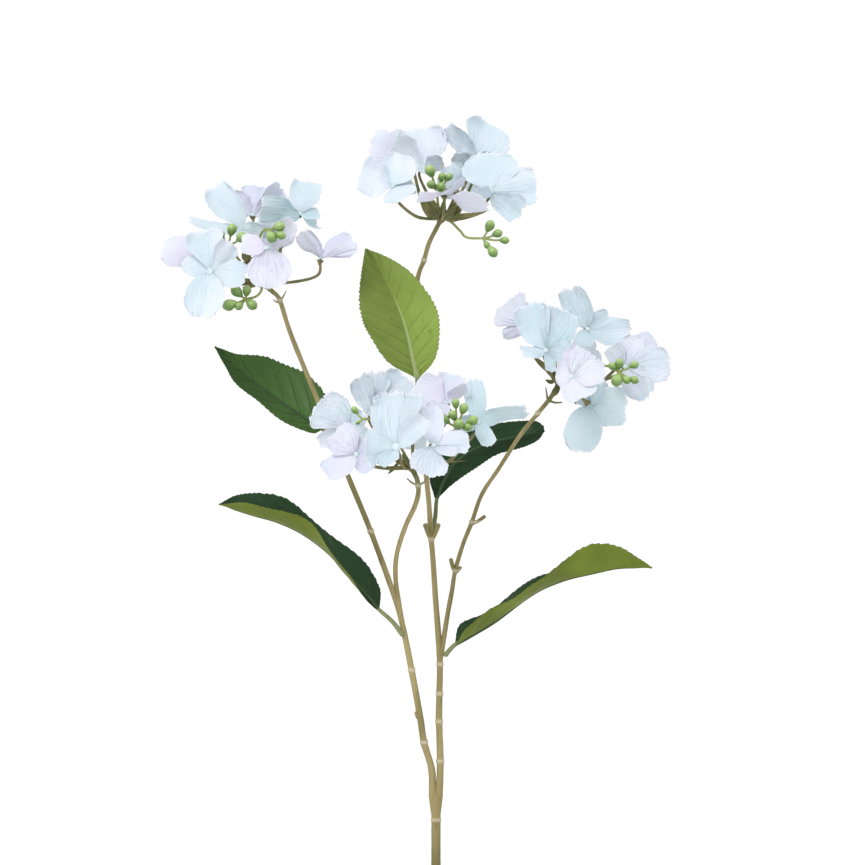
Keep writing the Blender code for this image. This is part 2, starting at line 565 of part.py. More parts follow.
# The rows of a petal: how far along it each is, and how wide the petal is there, as shares.
PETAL_OUTLINE = [(0.08, 0.3), (0.4, 0.92), (0.78, 1.0), (1.0, 0.72)]
PETAL_TURN = 0.45                # share of its length over which a petal turns to its own slant
PETAL_SAG = 0.07                 # how far it bellies out behind the line from eye to tip, as a share of it
PETAL_CUP = 0.08                 # how far its two sides rise, as a share of its length
PETAL_BAY = 0.14                 # how much shorter its corners are than its middle
EDGE_SHARE = 0.46                # of the angle to the next petal that half a petal may fill


def facing_of(eye, petals):
    """The way a floret looks, square to the ring of its petals' tips and away from its hub, and its petals
    in order round it."""
    ring = list(petals)
    rough = sum((tip for tip, _ in ring), Vector()) / len(ring) + eye * 0.5
    right = rough.orthogonal().normalized()
    up = rough.normalized().cross(right)
    ring.sort(key=lambda petal: math.atan2(petal[0].dot(up), petal[0].dot(right)))
    square = Vector()
    for (one, _), (following, _) in zip(ring, ring[1:] + ring[:1]):
        square += one.cross(following)
    return square.normalized(), ring


def petal_angle(tip, following, facing):
    """The angle from one petal to the next, seen along the way the floret looks."""
    a = (tip - facing * tip.dot(facing)).normalized()
    b = (following - facing * following.dot(facing)).normalized()
    return math.atan2(a.cross(b).dot(facing), a.dot(b)) % (2 * math.pi)


def petal_rows(mesh_data, eye, tip, side, facing, limits):
    """The rows of points of one petal, from the eye's edge out to the tip."""
    length = tip.length
    forward = tip / length
    level = facing.cross(forward).normalized()
    slant = side - forward * side.dot(forward)
    if forward.cross(slant).dot(facing) < 0:
        slant.negate()
    half_width = slant.length
    rows = []
    for along, wide in PETAL_OUTLINE:
        turned = min(along / PETAL_TURN, 1)
        across = (level * (1 - turned) + slant.normalized() * turned).normalized()
        out = forward.cross(across)
        row = []
        for j in range(PETAL_COLUMNS + 1):
            part = 2 * j / PETAL_COLUMNS - 1
            reach = length * along * (1 - PETAL_BAY * abs(part) ** 2.5)
            width = min(half_width * wide, length * along * math.tan(limits[0 if part < 0 else 1]))
            rise = length * (PETAL_CUP * part**2 * along - PETAL_SAG * 4 * along * (1 - along))
            row.append(mesh_data.verts.new(eye + forward * reach + across * width * part + out * rise))
        rows.append(row)
    return rows


def make_floret(name, hub, eye, petals, material):
    """One floret: its petals round its eye, as one thin solid. Returns where its pedicel ends and the way
    that the floret looks."""
    eye_step = offset(*eye)
    facing, ring = facing_of(eye_step, [(offset(*tip), offset(*side)) for tip, side in petals])
    eye = hub + eye_step
    mesh_data = bmesh.new()
    gaps = [petal_angle(a[0], b[0], facing) for a, b in zip(ring, ring[1:] + ring[:1])]
    middle = []
    for k, (tip, side) in enumerate(ring):
        limits = [min(PETAL_SPREAD, gap * EDGE_SHARE) for gap in (gaps[k - 1], gaps[k])]
        rows = petal_rows(mesh_data, eye, tip, side, facing, limits)
        for lower, upper in zip(rows, rows[1:]):
            for j in range(PETAL_COLUMNS):
                mesh_data.faces.new((lower[j], upper[j], upper[j + 1], lower[j + 1]))
        middle += rows[0]
    centre = mesh_data.verts.new(eye)
    for one, following in zip(middle, middle[1:] + middle[:1]):
        mesh_data.faces.new((centre, one, following))
    floret = new_object(name, mesh_data, material)
    skin = floret.modifiers.new("thickness", "SOLIDIFY")
    skin.thickness = PETAL_THICKNESS
    skin.offset = -1
    skin.use_even_offset = False
    # The pedicel stops short of the petals that lean back round it.
    lean = max(0, *(-tip.dot(facing) / tip.cross(facing).length for tip, _ in ring))
    behind = PETAL_THICKNESS * math.hypot(1, lean) + PEDICEL_RADIUS * lean
    return eye - facing * (behind + GAP), facing


def bud(name, centre, radius):
    mesh_data = bmesh.new()
    place = Matrix.Translation(centre)
    bmesh.ops.create_uvsphere(
        mesh_data, u_segments=BUD_SIDES, v_segments=BUD_RINGS, radius=radius, matrix=place
    )
    return new_object(name, mesh_data)


def inside_hub(hub, towards):
    """Where a stalk starts: inside the hub, a little to the side that it leaves by."""
    return hub + (towards - hub).normalized() * HUB_RADIUS * 0.5


def make_pedicels(name, hub, below, ends, bud_sprays, material):
    """The thin stalks of a head, grown together as one solid: one from the hub to the back of each floret,
    and one to each spray of buds, with its buds."""
    shapes = [bud(f"{name}_hub", hub, HUB_RADIUS)]
    neck = below + (hub - below).normalized() * GAP
    shapes.append(tube(f"{name}_neck", [neck, hub], (TWIG_RADIUS, HUB_RADIUS * 0.9), ROUND_SIDES))
    for number, (end, facing) in enumerate(ends):
        reach = (end - hub).length
        # A stalk leaves the hub low, the more so the further out it goes, and turns to meet its floret.
        way = end - hub
        flat = math.hypot(way.x, way.y) / reach
        out = PEDICEL_OUT * flat + 0.15
        first = hub + Vector((way.x * out, way.y * out, way.z * PEDICEL_RISE * (1 - flat)))
        last = end - facing * reach * 0.25
        route = [inside_hub(hub, first), first, last, end]
        shapes.append(tube(f"{name}_{number}", route, (PEDICEL_RADIUS * 1.3, PEDICEL_RADIUS), FINE_SIDES))
    for spray_number, (route, buds) in enumerate(bud_sprays):
        label = f"{name}_spray_{spray_number}"
        points = [hub + offset(*p) for p in route]
        points.insert(0, inside_hub(hub, points[0]))
        shapes.append(tube(label, points, (BUD_STALK_RADIUS * 1.3, BUD_STALK_RADIUS * 1.1), FINE_SIDES))
        for number, (right, back, up, radius) in enumerate(buds):
            centre = hub + offset(right, back, up)
            start = points[-1] - (centre - points[-1]).normalized() * BUD_STALK_RADIUS
            twig = BUD_STALK_RADIUS * 0.9
            shapes.append(tube(f"{label}_{number}", [start, centre], (twig, twig), FINE_SIDES))
            shapes.append(bud(f"{label}_bud_{number}", centre, radius * MM))
    # So many thin stalks meet in the hub that the exact solver loses some, and every shape here is closed.
    return union_of(name, shapes, material, "MANIFOLD")


# ---- the whole spray ----------------------------------------------------------------------------------
def main():
    for obj in list(bpy.data.objects):
        bpy.data.objects.remove(obj)

    clay = new_material("clay", (0.62, 0.60, 0.56), 0.6)
    earth = new_material("earth", (0.05, 0.035, 0.025), 0.95)
    bark = new_material("bark", (0.40, 0.33, 0.15), 0.6)
    green_stalk = new_material("green stalk", (0.20, 0.24, 0.06), 0.6)
    leaf_green = new_material("leaf green", (0.08, 0.20, 0.05), 0.55)
    petal_blue = new_material("petal blue", (0.72, 0.83, 0.90), 0.7)

    make_pot(clay)
    make_soil(earth)
    make_trunk(bark)
    make_stem("middle_stem", bark)
    make_stem("left_stem", bark, [stem_cutter("middle_stem")])
    make_stem("centre_stem", bark, [stem_cutter("left_stem")])
    make_stem("right_stem", bark, [stem_cutter("middle_stem")])
    for name, leaf in LEAVES.items():
        make_leaf(name, material=leaf_green, **leaf)
    for name, head in HEADS.items():
        hub = spray_point(*head["hub"])
        ends = [
            make_floret(f"{name}_floret_{number}", hub, eye, petals, petal_blue)
            for number, (eye, petals) in enumerate(head["florets"], 1)
        ]
        stem_end = spray_point(*STEMS[head["stem"]][0][-1])
        make_pedicels(f"{name}_pedicels", hub, stem_end, ends, BUD_SPRAYS[name], green_stalk)


main()
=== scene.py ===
"""A hydrangea spray in a plain pot: four lacecap heads of loose cloth florets on moulded stems."""

import math
import random

import bpy
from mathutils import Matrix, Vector, noise


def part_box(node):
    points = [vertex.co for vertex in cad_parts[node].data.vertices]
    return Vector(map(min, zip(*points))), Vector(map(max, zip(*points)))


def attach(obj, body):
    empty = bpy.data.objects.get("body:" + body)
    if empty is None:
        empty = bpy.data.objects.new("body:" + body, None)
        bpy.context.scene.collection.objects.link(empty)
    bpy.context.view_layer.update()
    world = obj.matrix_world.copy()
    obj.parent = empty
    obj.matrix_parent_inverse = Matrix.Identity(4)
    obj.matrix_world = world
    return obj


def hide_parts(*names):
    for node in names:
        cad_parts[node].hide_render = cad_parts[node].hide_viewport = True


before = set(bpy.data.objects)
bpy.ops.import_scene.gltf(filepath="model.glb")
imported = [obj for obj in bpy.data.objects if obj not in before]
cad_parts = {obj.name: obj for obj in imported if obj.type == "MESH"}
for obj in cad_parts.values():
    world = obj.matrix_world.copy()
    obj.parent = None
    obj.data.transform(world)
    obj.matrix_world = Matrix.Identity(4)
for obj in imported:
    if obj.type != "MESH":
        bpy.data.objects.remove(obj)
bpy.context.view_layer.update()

# ==== The pot =====================================================================================
# A plain unglazed stoneware pot, thrown on a wheel: a leaning wall, a thick band under the lip and a flat
# foot. It is turned here as one skin, from the middle of its foot up its outside, over its lip and down its
# inside.

POT_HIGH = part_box("pot")[1]
POT_HEIGHT = POT_HIGH.z
POT_RIM_RADIUS = POT_HIGH.x
POT_FOOT_RADIUS = POT_RIM_RADIUS * 0.70
POT_WALL = 0.005
POT_FLOOR = 0.007
BAND_HEIGHT = 0.024
BAND_STEP = 0.003
POT_EDGE = 0.0015
POT_SIDES = 112
POT_CREAM = (0.66, 0.63, 0.56)
POT_SAND = (0.56, 0.52, 0.44)
POT_IRON = (0.25, 0.19, 0.13)
CORNER_STEPS = 4                # facets in each rounded corner
CORNER_SHARE = 0.3              # how much of its shorter side a corner's rounding takes
SEAM_REACH = 0.000002           # how far apart a seam's points may lie and still be sewn
SPECKS_PER_PATCH = 7


def deselect_all():
    for obj in list(bpy.context.selected_objects):
        obj.select_set(False)


def make_active(obj):
    deselect_all()
    obj.select_set(True)
    bpy.context.view_layer.objects.active = obj


def shaped_grid(name, across, along, place, rolled=False):
    """Adds a grid and moves each point to place(u, v), with u across it and v along it, both from 0 to 1.

    A rolled grid is sewn along its side edges and where a row closes to a point.
    """
    deselect_all()
    bpy.ops.mesh.primitive_grid_add(x_subdivisions=across, y_subdivisions=along, size=1, calc_uvs=True)
    obj = bpy.context.object
    obj.name = obj.data.name = name
    for vertex in obj.data.vertices:
        vertex.co = place(vertex.co.x + 0.5, vertex.co.y + 0.5)
    if rolled:
        bpy.ops.object.mode_set(mode="EDIT")
        bpy.ops.mesh.select_all(action="SELECT")
        bpy.ops.mesh.remove_doubles(threshold=SEAM_REACH)
        bpy.ops.object.mode_set(mode="OBJECT")
    bpy.ops.object.shade_smooth()
    return obj


def join(name, pieces):
    """Makes one object of several, called by this name."""
    make_active(pieces[0])
    for piece in pieces[1:]:
        piece.select_set(True)
    if len(pieces) > 1:
        bpy.ops.object.join()
    piece = bpy.context.object
    piece.name = piece.data.name = name
    return piece


def new_material(name, colour, roughness):
    """A material, its node tree and its Principled shader."""
    material = bpy.data.materials.new(name)
    material.use_nodes = True
    shader = material.node_tree.nodes["Principled BSDF"]
    shader.inputs["Base Color"].default_value = (*colour, 1)
    shader.inputs["Roughness"].default_value = roughness
    return material, material.node_tree, shader


def add_node(tree, kind, sources=(), **settings):
    """Adds a node. Each source is a socket's name or number, and a value or the socket that feeds it."""
    node = tree.nodes.new(kind)
    for setting, value in settings.items():
        setattr(node, setting, value)
    for socket, source in dict(sources).items():
        if isinstance(source, bpy.types.NodeSocket):
            tree.links.new(source, node.inputs[socket])
        else:
            node.inputs[socket].default_value = source
    return node


def maths(tree, operation, *values):
    """The result of one sum on numbers or sockets."""
    return add_node(tree, "ShaderNodeMath", enumerate(values), operation=operation).outputs[0]


def times(tree, one, other):
    return maths(tree, "MULTIPLY", one, other)


def one_less(tree, value):
    return maths(tree, "SUBTRACT", 1, value)


def blend_colours(tree, share, one, other):
    """Mixes two colours, each a socket or three numbers, by a share that is a socket or a number."""
    mix = add_node(tree, "ShaderNodeMix", data_type="RGBA")
    for socket, source in ((0, share), (6, one), (7, other)):
        if isinstance(source, bpy.types.NodeSocket):
            tree.links.new(source, mix.inputs[socket])
        else:
            mix.inputs[socket].default_value = source if socket == 0 else (*source, 1)
    return mix.outputs[2]


def ramp(tree, value, low, high):
    """0 below the low value, 1 above the high one, and smooth between."""
    limits = {"Value": value, "From Min": low, "From Max": high}
    return add_node(tree, "ShaderNodeMapRange", limits, interpolation_type="SMOOTHSTEP").outputs["Result"]


def mottle_group():
    """Uneven colour that any hand-made or moulded surface has: large soft patches and small specks."""
    group = bpy.data.node_groups.new("mottle", "ShaderNodeTree")
    face = group.interface
    face.new_socket("Size", in_out="INPUT", socket_type="NodeSocketFloat")
    face.new_socket("Stretch", in_out="INPUT", socket_type="NodeSocketVector")
    face.new_socket("Patches", in_out="OUTPUT", socket_type="NodeSocketFloat")
    face.new_socket("Specks", in_out="OUTPUT", socket_type="NodeSocketFloat")
    inside = add_node(group, "NodeGroupInput")
    place = add_node(group, "ShaderNodeTexCoord").outputs["Object"]
    sources = {0: place, 1: inside.outputs["Stretch"]}
    scaled = add_node(group, "ShaderNodeVectorMath", sources, operation="MULTIPLY").outputs[0]
    size = inside.outputs["Size"]
    patches = add_node(group, "ShaderNodeTexNoise", {"Vector": scaled, "Scale": size, "Detail": 3})
    finer = times(group, size, SPECKS_PER_PATCH)
    specks = add_node(group, "ShaderNodeTexNoise", {"Vector": scaled, "Scale": finer, "Detail": 2})
    outside = add_node(group, "NodeGroupOutput")
    group.links.new(patches.outputs["Fac"], outside.inputs["Patches"])
    group.links.new(specks.outputs["Fac"], outside.inputs["Specks"])
    return group


MOTTLE = mottle_group()


def mottled(tree, size, stretch=(1, 1, 1)):
    """The patches and the specks of the mottle group, in a material."""
    node = add_node(tree, "ShaderNodeGroup", node_tree=MOTTLE)
    node.inputs["Size"].default_value = size
    node.inputs["Stretch"].default_value = stretch
    return node.outputs["Patches"], node.outputs["Specks"]


def bump(tree, height, distance, shader, strength=1.0):
    node = add_node(tree, "ShaderNodeBump", {"Height": height, "Distance": distance, "Strength": strength})
    tree.links.new(node.outputs["Normal"], shader.inputs["Normal"])


def pot_material():
    material, tree, shader = new_material("unglazed stoneware", POT_CREAM, 0.62)
    patches, specks = mottled(tree, 22)
    colour = blend_colours(tree, ramp(tree, patches, 0.35, 0.7), POT_CREAM, POT_SAND)
    dark = times(tree, ramp(tree, specks, 0.66, 0.74), 0.5)
    colour = blend_colours(tree, dark, colour, POT_IRON)
    tree.links.new(colour, shader.inputs["Base Color"])
    _, turning = mottled(tree, 18, (0.2, 0.2, 9))
    bump(tree, maths(tree, "ADD", turning, times(tree, specks, 0.4)), 0.0006, shader, 0.6)
    return material


def pot_inside(height):
    """The radius of the pot's inner wall at a height."""
    lean = (POT_RIM_RADIUS - BAND_STEP - POT_FOOT_RADIUS) / POT_HEIGHT
    return POT_FOOT_RADIUS + lean * height - POT_WALL


def rounded(profile):
    """Rounds the corners of a turned profile with short arcs."""
    out = [profile[0]]
    for before, corner, after in zip(profile, profile[1:], profile[2:]):
        reach = min((before - corner).length, (after - corner).length) * CORNER_SHARE
        start = corner + (before - corner).normalized() * reach
        end = corner + (after - corner).normalized() * reach
        for step in range(CORNER_STEPS + 1):
            t = step / CORNER_STEPS
            out.append(start.lerp(corner, t).lerp(corner.lerp(end, t), t))
    out.append(profile[-1])
    return out


def turned(name, profile):
    """A skin of revolution, from a profile that starts on the axis and comes back to it."""
    last = len(profile) - 1

    def place(u, v):
        point = profile[round(v * last)]
        angle = 2 * math.pi * u
        return Vector((point.x * math.cos(angle), point.x * math.sin(angle), point.y))

    return shaped_grid(name, POT_SIDES, last, place, rolled=True)


def make_pot():
    band_foot = POT_HEIGHT - BAND_HEIGHT
    outer = pot_inside(band_foot) + POT_WALL
    profile = [Vector(p) for p in (
        (0, 0),
        (POT_FOOT_RADIUS * 0.6, 0),
        (POT_FOOT_RADIUS, 0),
        (POT_FOOT_RADIUS + 0.0003, 0.004),
        (outer, band_foot),
        (outer + BAND_STEP, band_foot + BAND_STEP),
        (POT_RIM_RADIUS, POT_HEIGHT - POT_EDGE * 2),
        (POT_RIM_RADIUS - POT_EDGE * 0.5, POT_HEIGHT),
        (pot_inside(POT_HEIGHT), POT_HEIGHT),
        (pot_inside(POT_HEIGHT * 0.6), POT_HEIGHT * 0.6),
        (pot_inside(POT_FLOOR), POT_FLOOR),
        (0, POT_FLOOR),
    )]
    pot = turned("stoneware_pot", rounded(profile))
    pot.data.materials.append(pot_material())
    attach(pot, "root")
    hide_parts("pot")


make_pot()

# ==== The soil ====================================================================================
# Bark compost that fills the pot to a finger below the lip, heaped a little round the stem. It is one
# crumbly skin with loose crumbs of bark lying on it.

SOIL_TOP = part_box("soil")[1].z
SOIL_CROWN = 0.004
SOIL_RADIUS = pot_inside(SOIL_TOP - SOIL_CROWN) - 0.0005
SOIL_SKIRT = 0.012              # how far the skin turns down inside the wall
SOIL_SKIN = (120, 40)           # points round and out
CLODS = (110, 0.0013)           # how many to the metre, and how high
GRAINS = (420, 0.0006)
SOIL_SUNK = 0.0012
CRUMBS = 170
CRUMB_SIZE = (0.0012, 0.0034)
SOIL_BROWN = (0.05, 0.035, 0.025)
SOIL_DAMP = (0.028, 0.019, 0.013)
SOIL_DRY = (0.085, 0.058, 0.036)
BARK_TAN = (0.17, 0.12, 0.075)


def soil_height(x, y):
    share = min(math.hypot(x, y) / SOIL_RADIUS, 1)
    rough = noise.noise(Vector((x, y, 0)) * CLODS[0]) * CLODS[1]
    rough += noise.noise(Vector((x, y, 0.3)) * GRAINS[0]) * GRAINS[1]
    return SOIL_TOP - SOIL_CROWN * share**2 + rough - SOIL_SUNK


def make_soil():
    def place(u, v):
        radius = SOIL_RADIUS * min(1.12 - v * 1.12, 1)
        angle = -2 * math.pi * u
        x, y = radius * math.cos(angle), radius * math.sin(angle)
        drop = SOIL_SKIRT if v < 0.05 else 0
        return Vector((x, y, soil_height(x, y) - drop))

    ground = shaped_grid("ground", *SOIL_SKIN, place, rolled=True)
    chance = random.Random(5)
    pieces = [ground]
    for number in range(CRUMBS):
        deselect_all()
        size = chance.uniform(*CRUMB_SIZE)
        reach = SOIL_RADIUS * 0.95 * math.sqrt(chance.uniform(0.02, 1))
        angle = chance.uniform(0, 2 * math.pi)
        x, y = reach * math.cos(angle), reach * math.sin(angle)
        bpy.ops.mesh.primitive_ico_sphere_add(
            subdivisions=1, radius=size, location=(x, y, soil_height(x, y) + size * 0.25),
            rotation=[chance.uniform(0, 3) for _ in range(3)],
            scale=(1, chance.uniform(0.5, 0.9), chance.uniform(0.3, 0.6)),
        )
        bpy.ops.object.transform_apply(location=True, rotation=True, scale=True)
        pieces.append(bpy.context.object)
    soil = join("bark_compost", pieces)
    material, tree, shader = new_material("bark compost", SOIL_BROWN, 0.9)
    patches, specks = mottled(tree, 60)
    colour = blend_colours(tree, ramp(tree, patches, 0.4, 0.65), SOIL_DAMP, SOIL_DRY)
    colour = blend_colours(tree, ramp(tree, specks, 0.62, 0.7), colour, BARK_TAN)
    tree.links.new(colour, shader.inputs["Base Color"])
    bump(tree, specks, 0.0012, shader)
    soil.data.materials.append(material)
    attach(soil, "root")
    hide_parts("soil")


make_soil()

# ==== The stems ===================================================================================
# A trunk and four stems of moulded plastic, olive and tan, with paler rings at the old nodes, blunt side
# shoots and small pointed bracts below the heads. The routes are in millimetres from the top of the trunk.

MM = 0.001
TRUNK_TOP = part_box("trunk")[1].z + 0.0004
TRUNK_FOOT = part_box("trunk")[0].z
LEFT_STEM = [
    (-2.1, 0, 0), (-2.5, 0, 16), (-6.9, -1, 32), (-9.2, -2, 47), (-13.9, -3, 73), (-18.5, -4, 96),
    (-23.1, -5, 114), (-37.6, -6, 154), (-50.3, -7, 185), (-65.9, -9, 224), (-75.7, -10, 248),
    (-84.4, -11, 270),
    (-89.8, -12, 287), (-94, -12, 292), (-98, -12, 295),
]
CENTRE_STEM = [
    (-19.2, -4.5, 99), (-21, -8, 111), (-23, -16, 125), (-23, -22, 137), (-21, -28, 147), (-16.8, -34, 159),
    (-12.1, -40, 169), (-10, -44, 177), (-10.6, -47, 184), (-12, -48, 187.4),
]
MIDDLE_STEM = [
    (1.9, 0, 0), (2.5, 0, 21), (1.8, 0, 44), (2, 0, 60), (2.3, 1, 77), (1.2, 2, 96), (-0.2, 4, 114),
    (-1.7, 7, 137), (-2.9, 9, 151), (-4, 11, 169), (-5.4, 13, 183), (-8, 16, 212), (-10.4, 17, 241),
    (-12.4, 16, 270), (-10.8, 13, 299), (-7, 12, 311), (-4, 11, 321), (0, 10, 329), (1.6, 10, 332),
]
RIGHT_STEM = [
    (2.6, 1, 80), (4.4, 2, 91), (6.6, 3, 105), (9.2, 4, 119), (11.2, 5, 131), (15.6, 6, 146),
    (20.8, 7, 159),
    (26.6, 8, 175), (36.4, 8, 190), (48.6, 8, 209), (59, 7, 222), (65.6, 6, 230), (68.2, 5, 234),
    (69.6, 5, 236.4),
]
# For each stem: its route, its radii, the heights of its rings, and its shoots, each from, to and two
# radii.
STEMS = {
    "trunk": ([(0, 0, (TRUNK_FOOT - TRUNK_TOP) / MM), (0, 0, -40), (0, 0, -0.4)], (2.8, 2.7), (-13, -42), [
        ((-2.1, 0, 0.4), (-1, 0, -12), 2.1, 1.5),
        ((1.9, 0, 0.4), (1, 0, -12), 2.1, 1.5),
        ((-0.1, 0, -3), (-0.1, 0, 9), 2.2, 0.5),
    ]),
    "left_stem": (LEFT_STEM, (2.1, 1.6, 1.3), (32, 74, 154, 287), [
        ((-9.6, -2, 46), (-11.6, -3.4, 49.5), 1.5, 1.0),
        ((-90, -12, 286), (-93.6, -13, 287.4), 0.8, 0.3),
        ((-89.6, -12, 287), (-86, -13, 292.5), 0.7, 0.25),
    ]),
    "centre_stem": (CENTRE_STEM, (1.4, 1.4), (181,), [
        ((-10.3, -46, 181), (-16.4, -49, 185), 0.8, 0.3),
        ((-10.3, -46, 181), (-5.2, -49, 184.6), 0.8, 0.3),
    ]),
    "middle_stem": (MIDDLE_STEM, (2.1, 1.5, 1.3), (21, 44, 60, 77, 149, 241, 311), [
        ((-2.6, 9, 148), (-6.2, 5, 157.5), 1.2, 1.5),
        ((-2.6, 9, 148), (1.4, 6, 157.5), 1.2, 1.5),
    ]),
    "right_stem": (RIGHT_STEM, (1.55, 1.2, 1.3), (131, 159, 222), [
        ((11, 5, 129.5), (8.6, 2, 137.5), 1.1, 1.3),
        ((11.2, 5, 130), (14.2, 3, 133), 1.0, 1.0),
        ((20.4, 7, 158), (28.2, 4, 162.4), 1.1, 1.1),
        ((65, 6, 229), (63.6, 4, 237), 0.8, 0.3),
        ((65.4, 6, 229.4), (73, 3, 228.4), 0.8, 0.4),
    ]),
}
RING_PROUD = 0.0005
RING_REACH = 0.0011             # half the height of a ring's swelling
RING_PAINT = 0.0010             # half the height of its pale band
STEM_UNEVEN = (160, 0.00012)    # how many dents to the metre, and how deep
TUBE_CAP = 2                    # rows that round off each end of a tube
STEM_OLIVE = (0.205, 0.175, 0.056)
STEM_TAN = (0.36, 0.29, 0.125)
STEM_PALE = (0.62, 0.55, 0.40)
STEM_GREEN = (0.13, 0.145, 0.035)
STEM_SPECK = (0.13, 0.10, 0.04)
STALK_OLIVE = (0.120, 0.145, 0.045)
STALK_PALE = (0.220, 0.245, 0.110)
GREEN_REACH = 0.014             # how far below its head a stem turns green


def spray_point(right, back, up):
    """A place in the spray, from millimetres right of, behind and above the top of the trunk."""
    return Vector((right * MM, back * MM, TRUNK_TOP + up * MM))


def offset(right, back, up):
    """A step, from millimetres."""
    return Vector((right, back, up)) * MM


def curve_through(points, place):
    """The point of a smooth curve through these points at a place from 0, the first, to 1, the last."""
    stretch = min(int(place * (len(points) - 1)), len(points) - 2)
    t = place * (len(points) - 1) - stretch
    b, c = points[stretch], points[stretch + 1]
    a = points[stretch - 1] if stretch else 2 * b - c
    d = points[stretch + 2] if stretch + 2 < len(points) else 2 * c - b
    bend = (2 * a - 5 * b + 4 * c - d) * t**2 + (3 * b - 3 * c + d - a) * t**3
    return 0.5 * (2 * b + (c - a) * t + bend)


def even_curve(points, count):
    """Evenly spaced points on the smooth curve through these points, and its length."""
    fine = [curve_through(points, i / (len(points) * 12)) for i in range(len(points) * 12 + 1)]
    lengths = [0]
    for a, b in zip(fine, fine[1:]):
        lengths.append(lengths[-1] + (b - a).length)
    out = []
    at = 0
    for i in range(count):
        wanted = lengths[-1] * i / (count - 1)
        while at < len(fine) - 2 and lengths[at + 1] < wanted:
            at += 1
        share = (wanted - lengths[at]) / max(lengths[at + 1] - lengths[at], 1e-9)
        out.append(fine[at].lerp(fine[at + 1], share))
    return out, lengths[-1]


def tube(name, points, radius_at, sides=14, step=0.0012):
    """A closed round tube through the points, rounded at its ends. radius_at(place, point) is its radius."""
    _, length = even_curve(points, 3)
    rows = max(int(length / step), 6)
    spine, _ = even_curve(points, rows + 1)
    ways = [(spine[min(i + 1, rows)] - spine[max(i - 1, 0)]).normalized() for i in range(rows + 1)]
    side = ways[0].orthogonal().normalized()
    sides_along = []
    for i, way in enumerate(ways):
        if i:
            side = ways[i - 1].rotation_difference(way) @ side
        side = (side - way * side.dot(way)).normalized()
        sides_along.append(side.copy())

    def place(u, v):
        i = round(v * (rows + 2 * TUBE_CAP))
        k = min(max(i - TUBE_CAP, 0), rows)
        radius = radius_at(k / rows, spine[k])
        beyond = max(TUBE_CAP - i, i - TUBE_CAP - rows, 0) / TUBE_CAP
        push = ways[k] * radius * 0.6 * math.sin(beyond * math.pi / 2) * (-1 if i < TUBE_CAP else 1)
        radius *= math.cos(beyond * math.pi / 2)
        angle = 2 * math.pi * u
        other = ways[k].cross(sides_along[k])
        return spine[k] + push + radius * (sides_along[k] * math.cos(angle) + other * math.sin(angle))

    return shaped_grid(name, sides, rows + 2 * TUBE_CAP, place, rolled=True)


def taper(radii):
    """Radii in millimetres, spread evenly from a tube's start to its end."""
    points = [Vector((r * MM, 0, 0)) for r in radii]
    return lambda place, point: curve_through(points, place).x


def stored(tree, name):
    """The value that a piece carries under this name at each of its points."""
    return add_node(tree, "ShaderNodeAttribute", attribute_name=name).outputs["Fac"]


def stem_material(name, base, brushed):
    """Plastic moulded in one colour and brushed with another, worn pale on the rings."""
    material, tree, shader = new_material(name, base, 0.45)
    patches, specks = mottled(tree, 70, (1, 1, 0.16))
    colour = blend_colours(tree, ramp(tree, patches, 0.38, 0.64), base, brushed)
    colour = blend_colours(tree, times(tree, stored(tree, "young"), 0.85), colour, STEM_GREEN)
    colour = blend_colours(tree, times(tree, stored(tree, "ring"), 0.75), colour, STEM_PALE)
    colour = blend_colours(tree, times(tree, ramp(tree, specks, 0.6, 0.72), 0.5), colour, STEM_SPECK)
    tree.links.new(colour, shader.inputs["Base Color"])
    bump(tree, maths(tree, "ADD", patches, specks), 0.0004, shader, 0.7)
    return material


def mark(obj, name, value_at):
    """Gives each of a piece's points a value, which its material reads by this name."""
    values = obj.data.attributes.new(name, "FLOAT", "POINT")
    for vertex, value in zip(obj.data.vertices, values.data):
        value.value = value_at(vertex.co)


def make_stems():
    material = stem_material("stem plastic", STEM_OLIVE, STEM_TAN)
    for name, (route, radii, rings, shoots) in STEMS.items():
        plain = taper(radii)

        def radius_at(place, point):
            height = point.z - TRUNK_TOP
            bulge = sum(math.exp(-((height - ring * MM) / RING_REACH) ** 2) for ring in rings)
            uneven = noise.noise(point * STEM_UNEVEN[0]) * STEM_UNEVEN[1]
            return plain(place, point) + RING_PROUD * bulge + uneven

        def ring_at(point):
            height = point.z - TRUNK_TOP
            return max(math.exp(-((height - ring * MM) / RING_PAINT) ** 2) for ring in rings)

        def young_at(point):
            return 0 if name == "trunk" else math.exp(-(((point - top).length / GREEN_REACH) ** 2))

        top = spray_point(*route[-1])
        pieces = [tube(name, [spray_point(*p) for p in route], radius_at, 18, 0.0007)]
        for start, end, thick, thin in shoots:
            middle = [(a + b) / 2 for a, b in zip(start, end)]
            middle[2] -= 0.6
            points = [spray_point(*p) for p in (start, middle, end)]
            pieces.append(tube("shoot", points, taper((thick, (thick + thin) / 2, thin)), 12, 0.0005))
        stem = join(f"{name}_moulding", pieces)
        mark(stem, "ring", ring_at)
        mark(stem, "young", young_at)
        stem.data.materials.append(material)
        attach(stem, "root")
        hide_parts(name)


make_stems()

# ==== The leaves ==================================================================================
# Stamped cloth leaves with a coated face: dark green above, yellow green beneath, pressed veins, a toothed
# edge and a plastic midrib that runs on as the stalk. Routes are in millimetres from the top of the trunk.

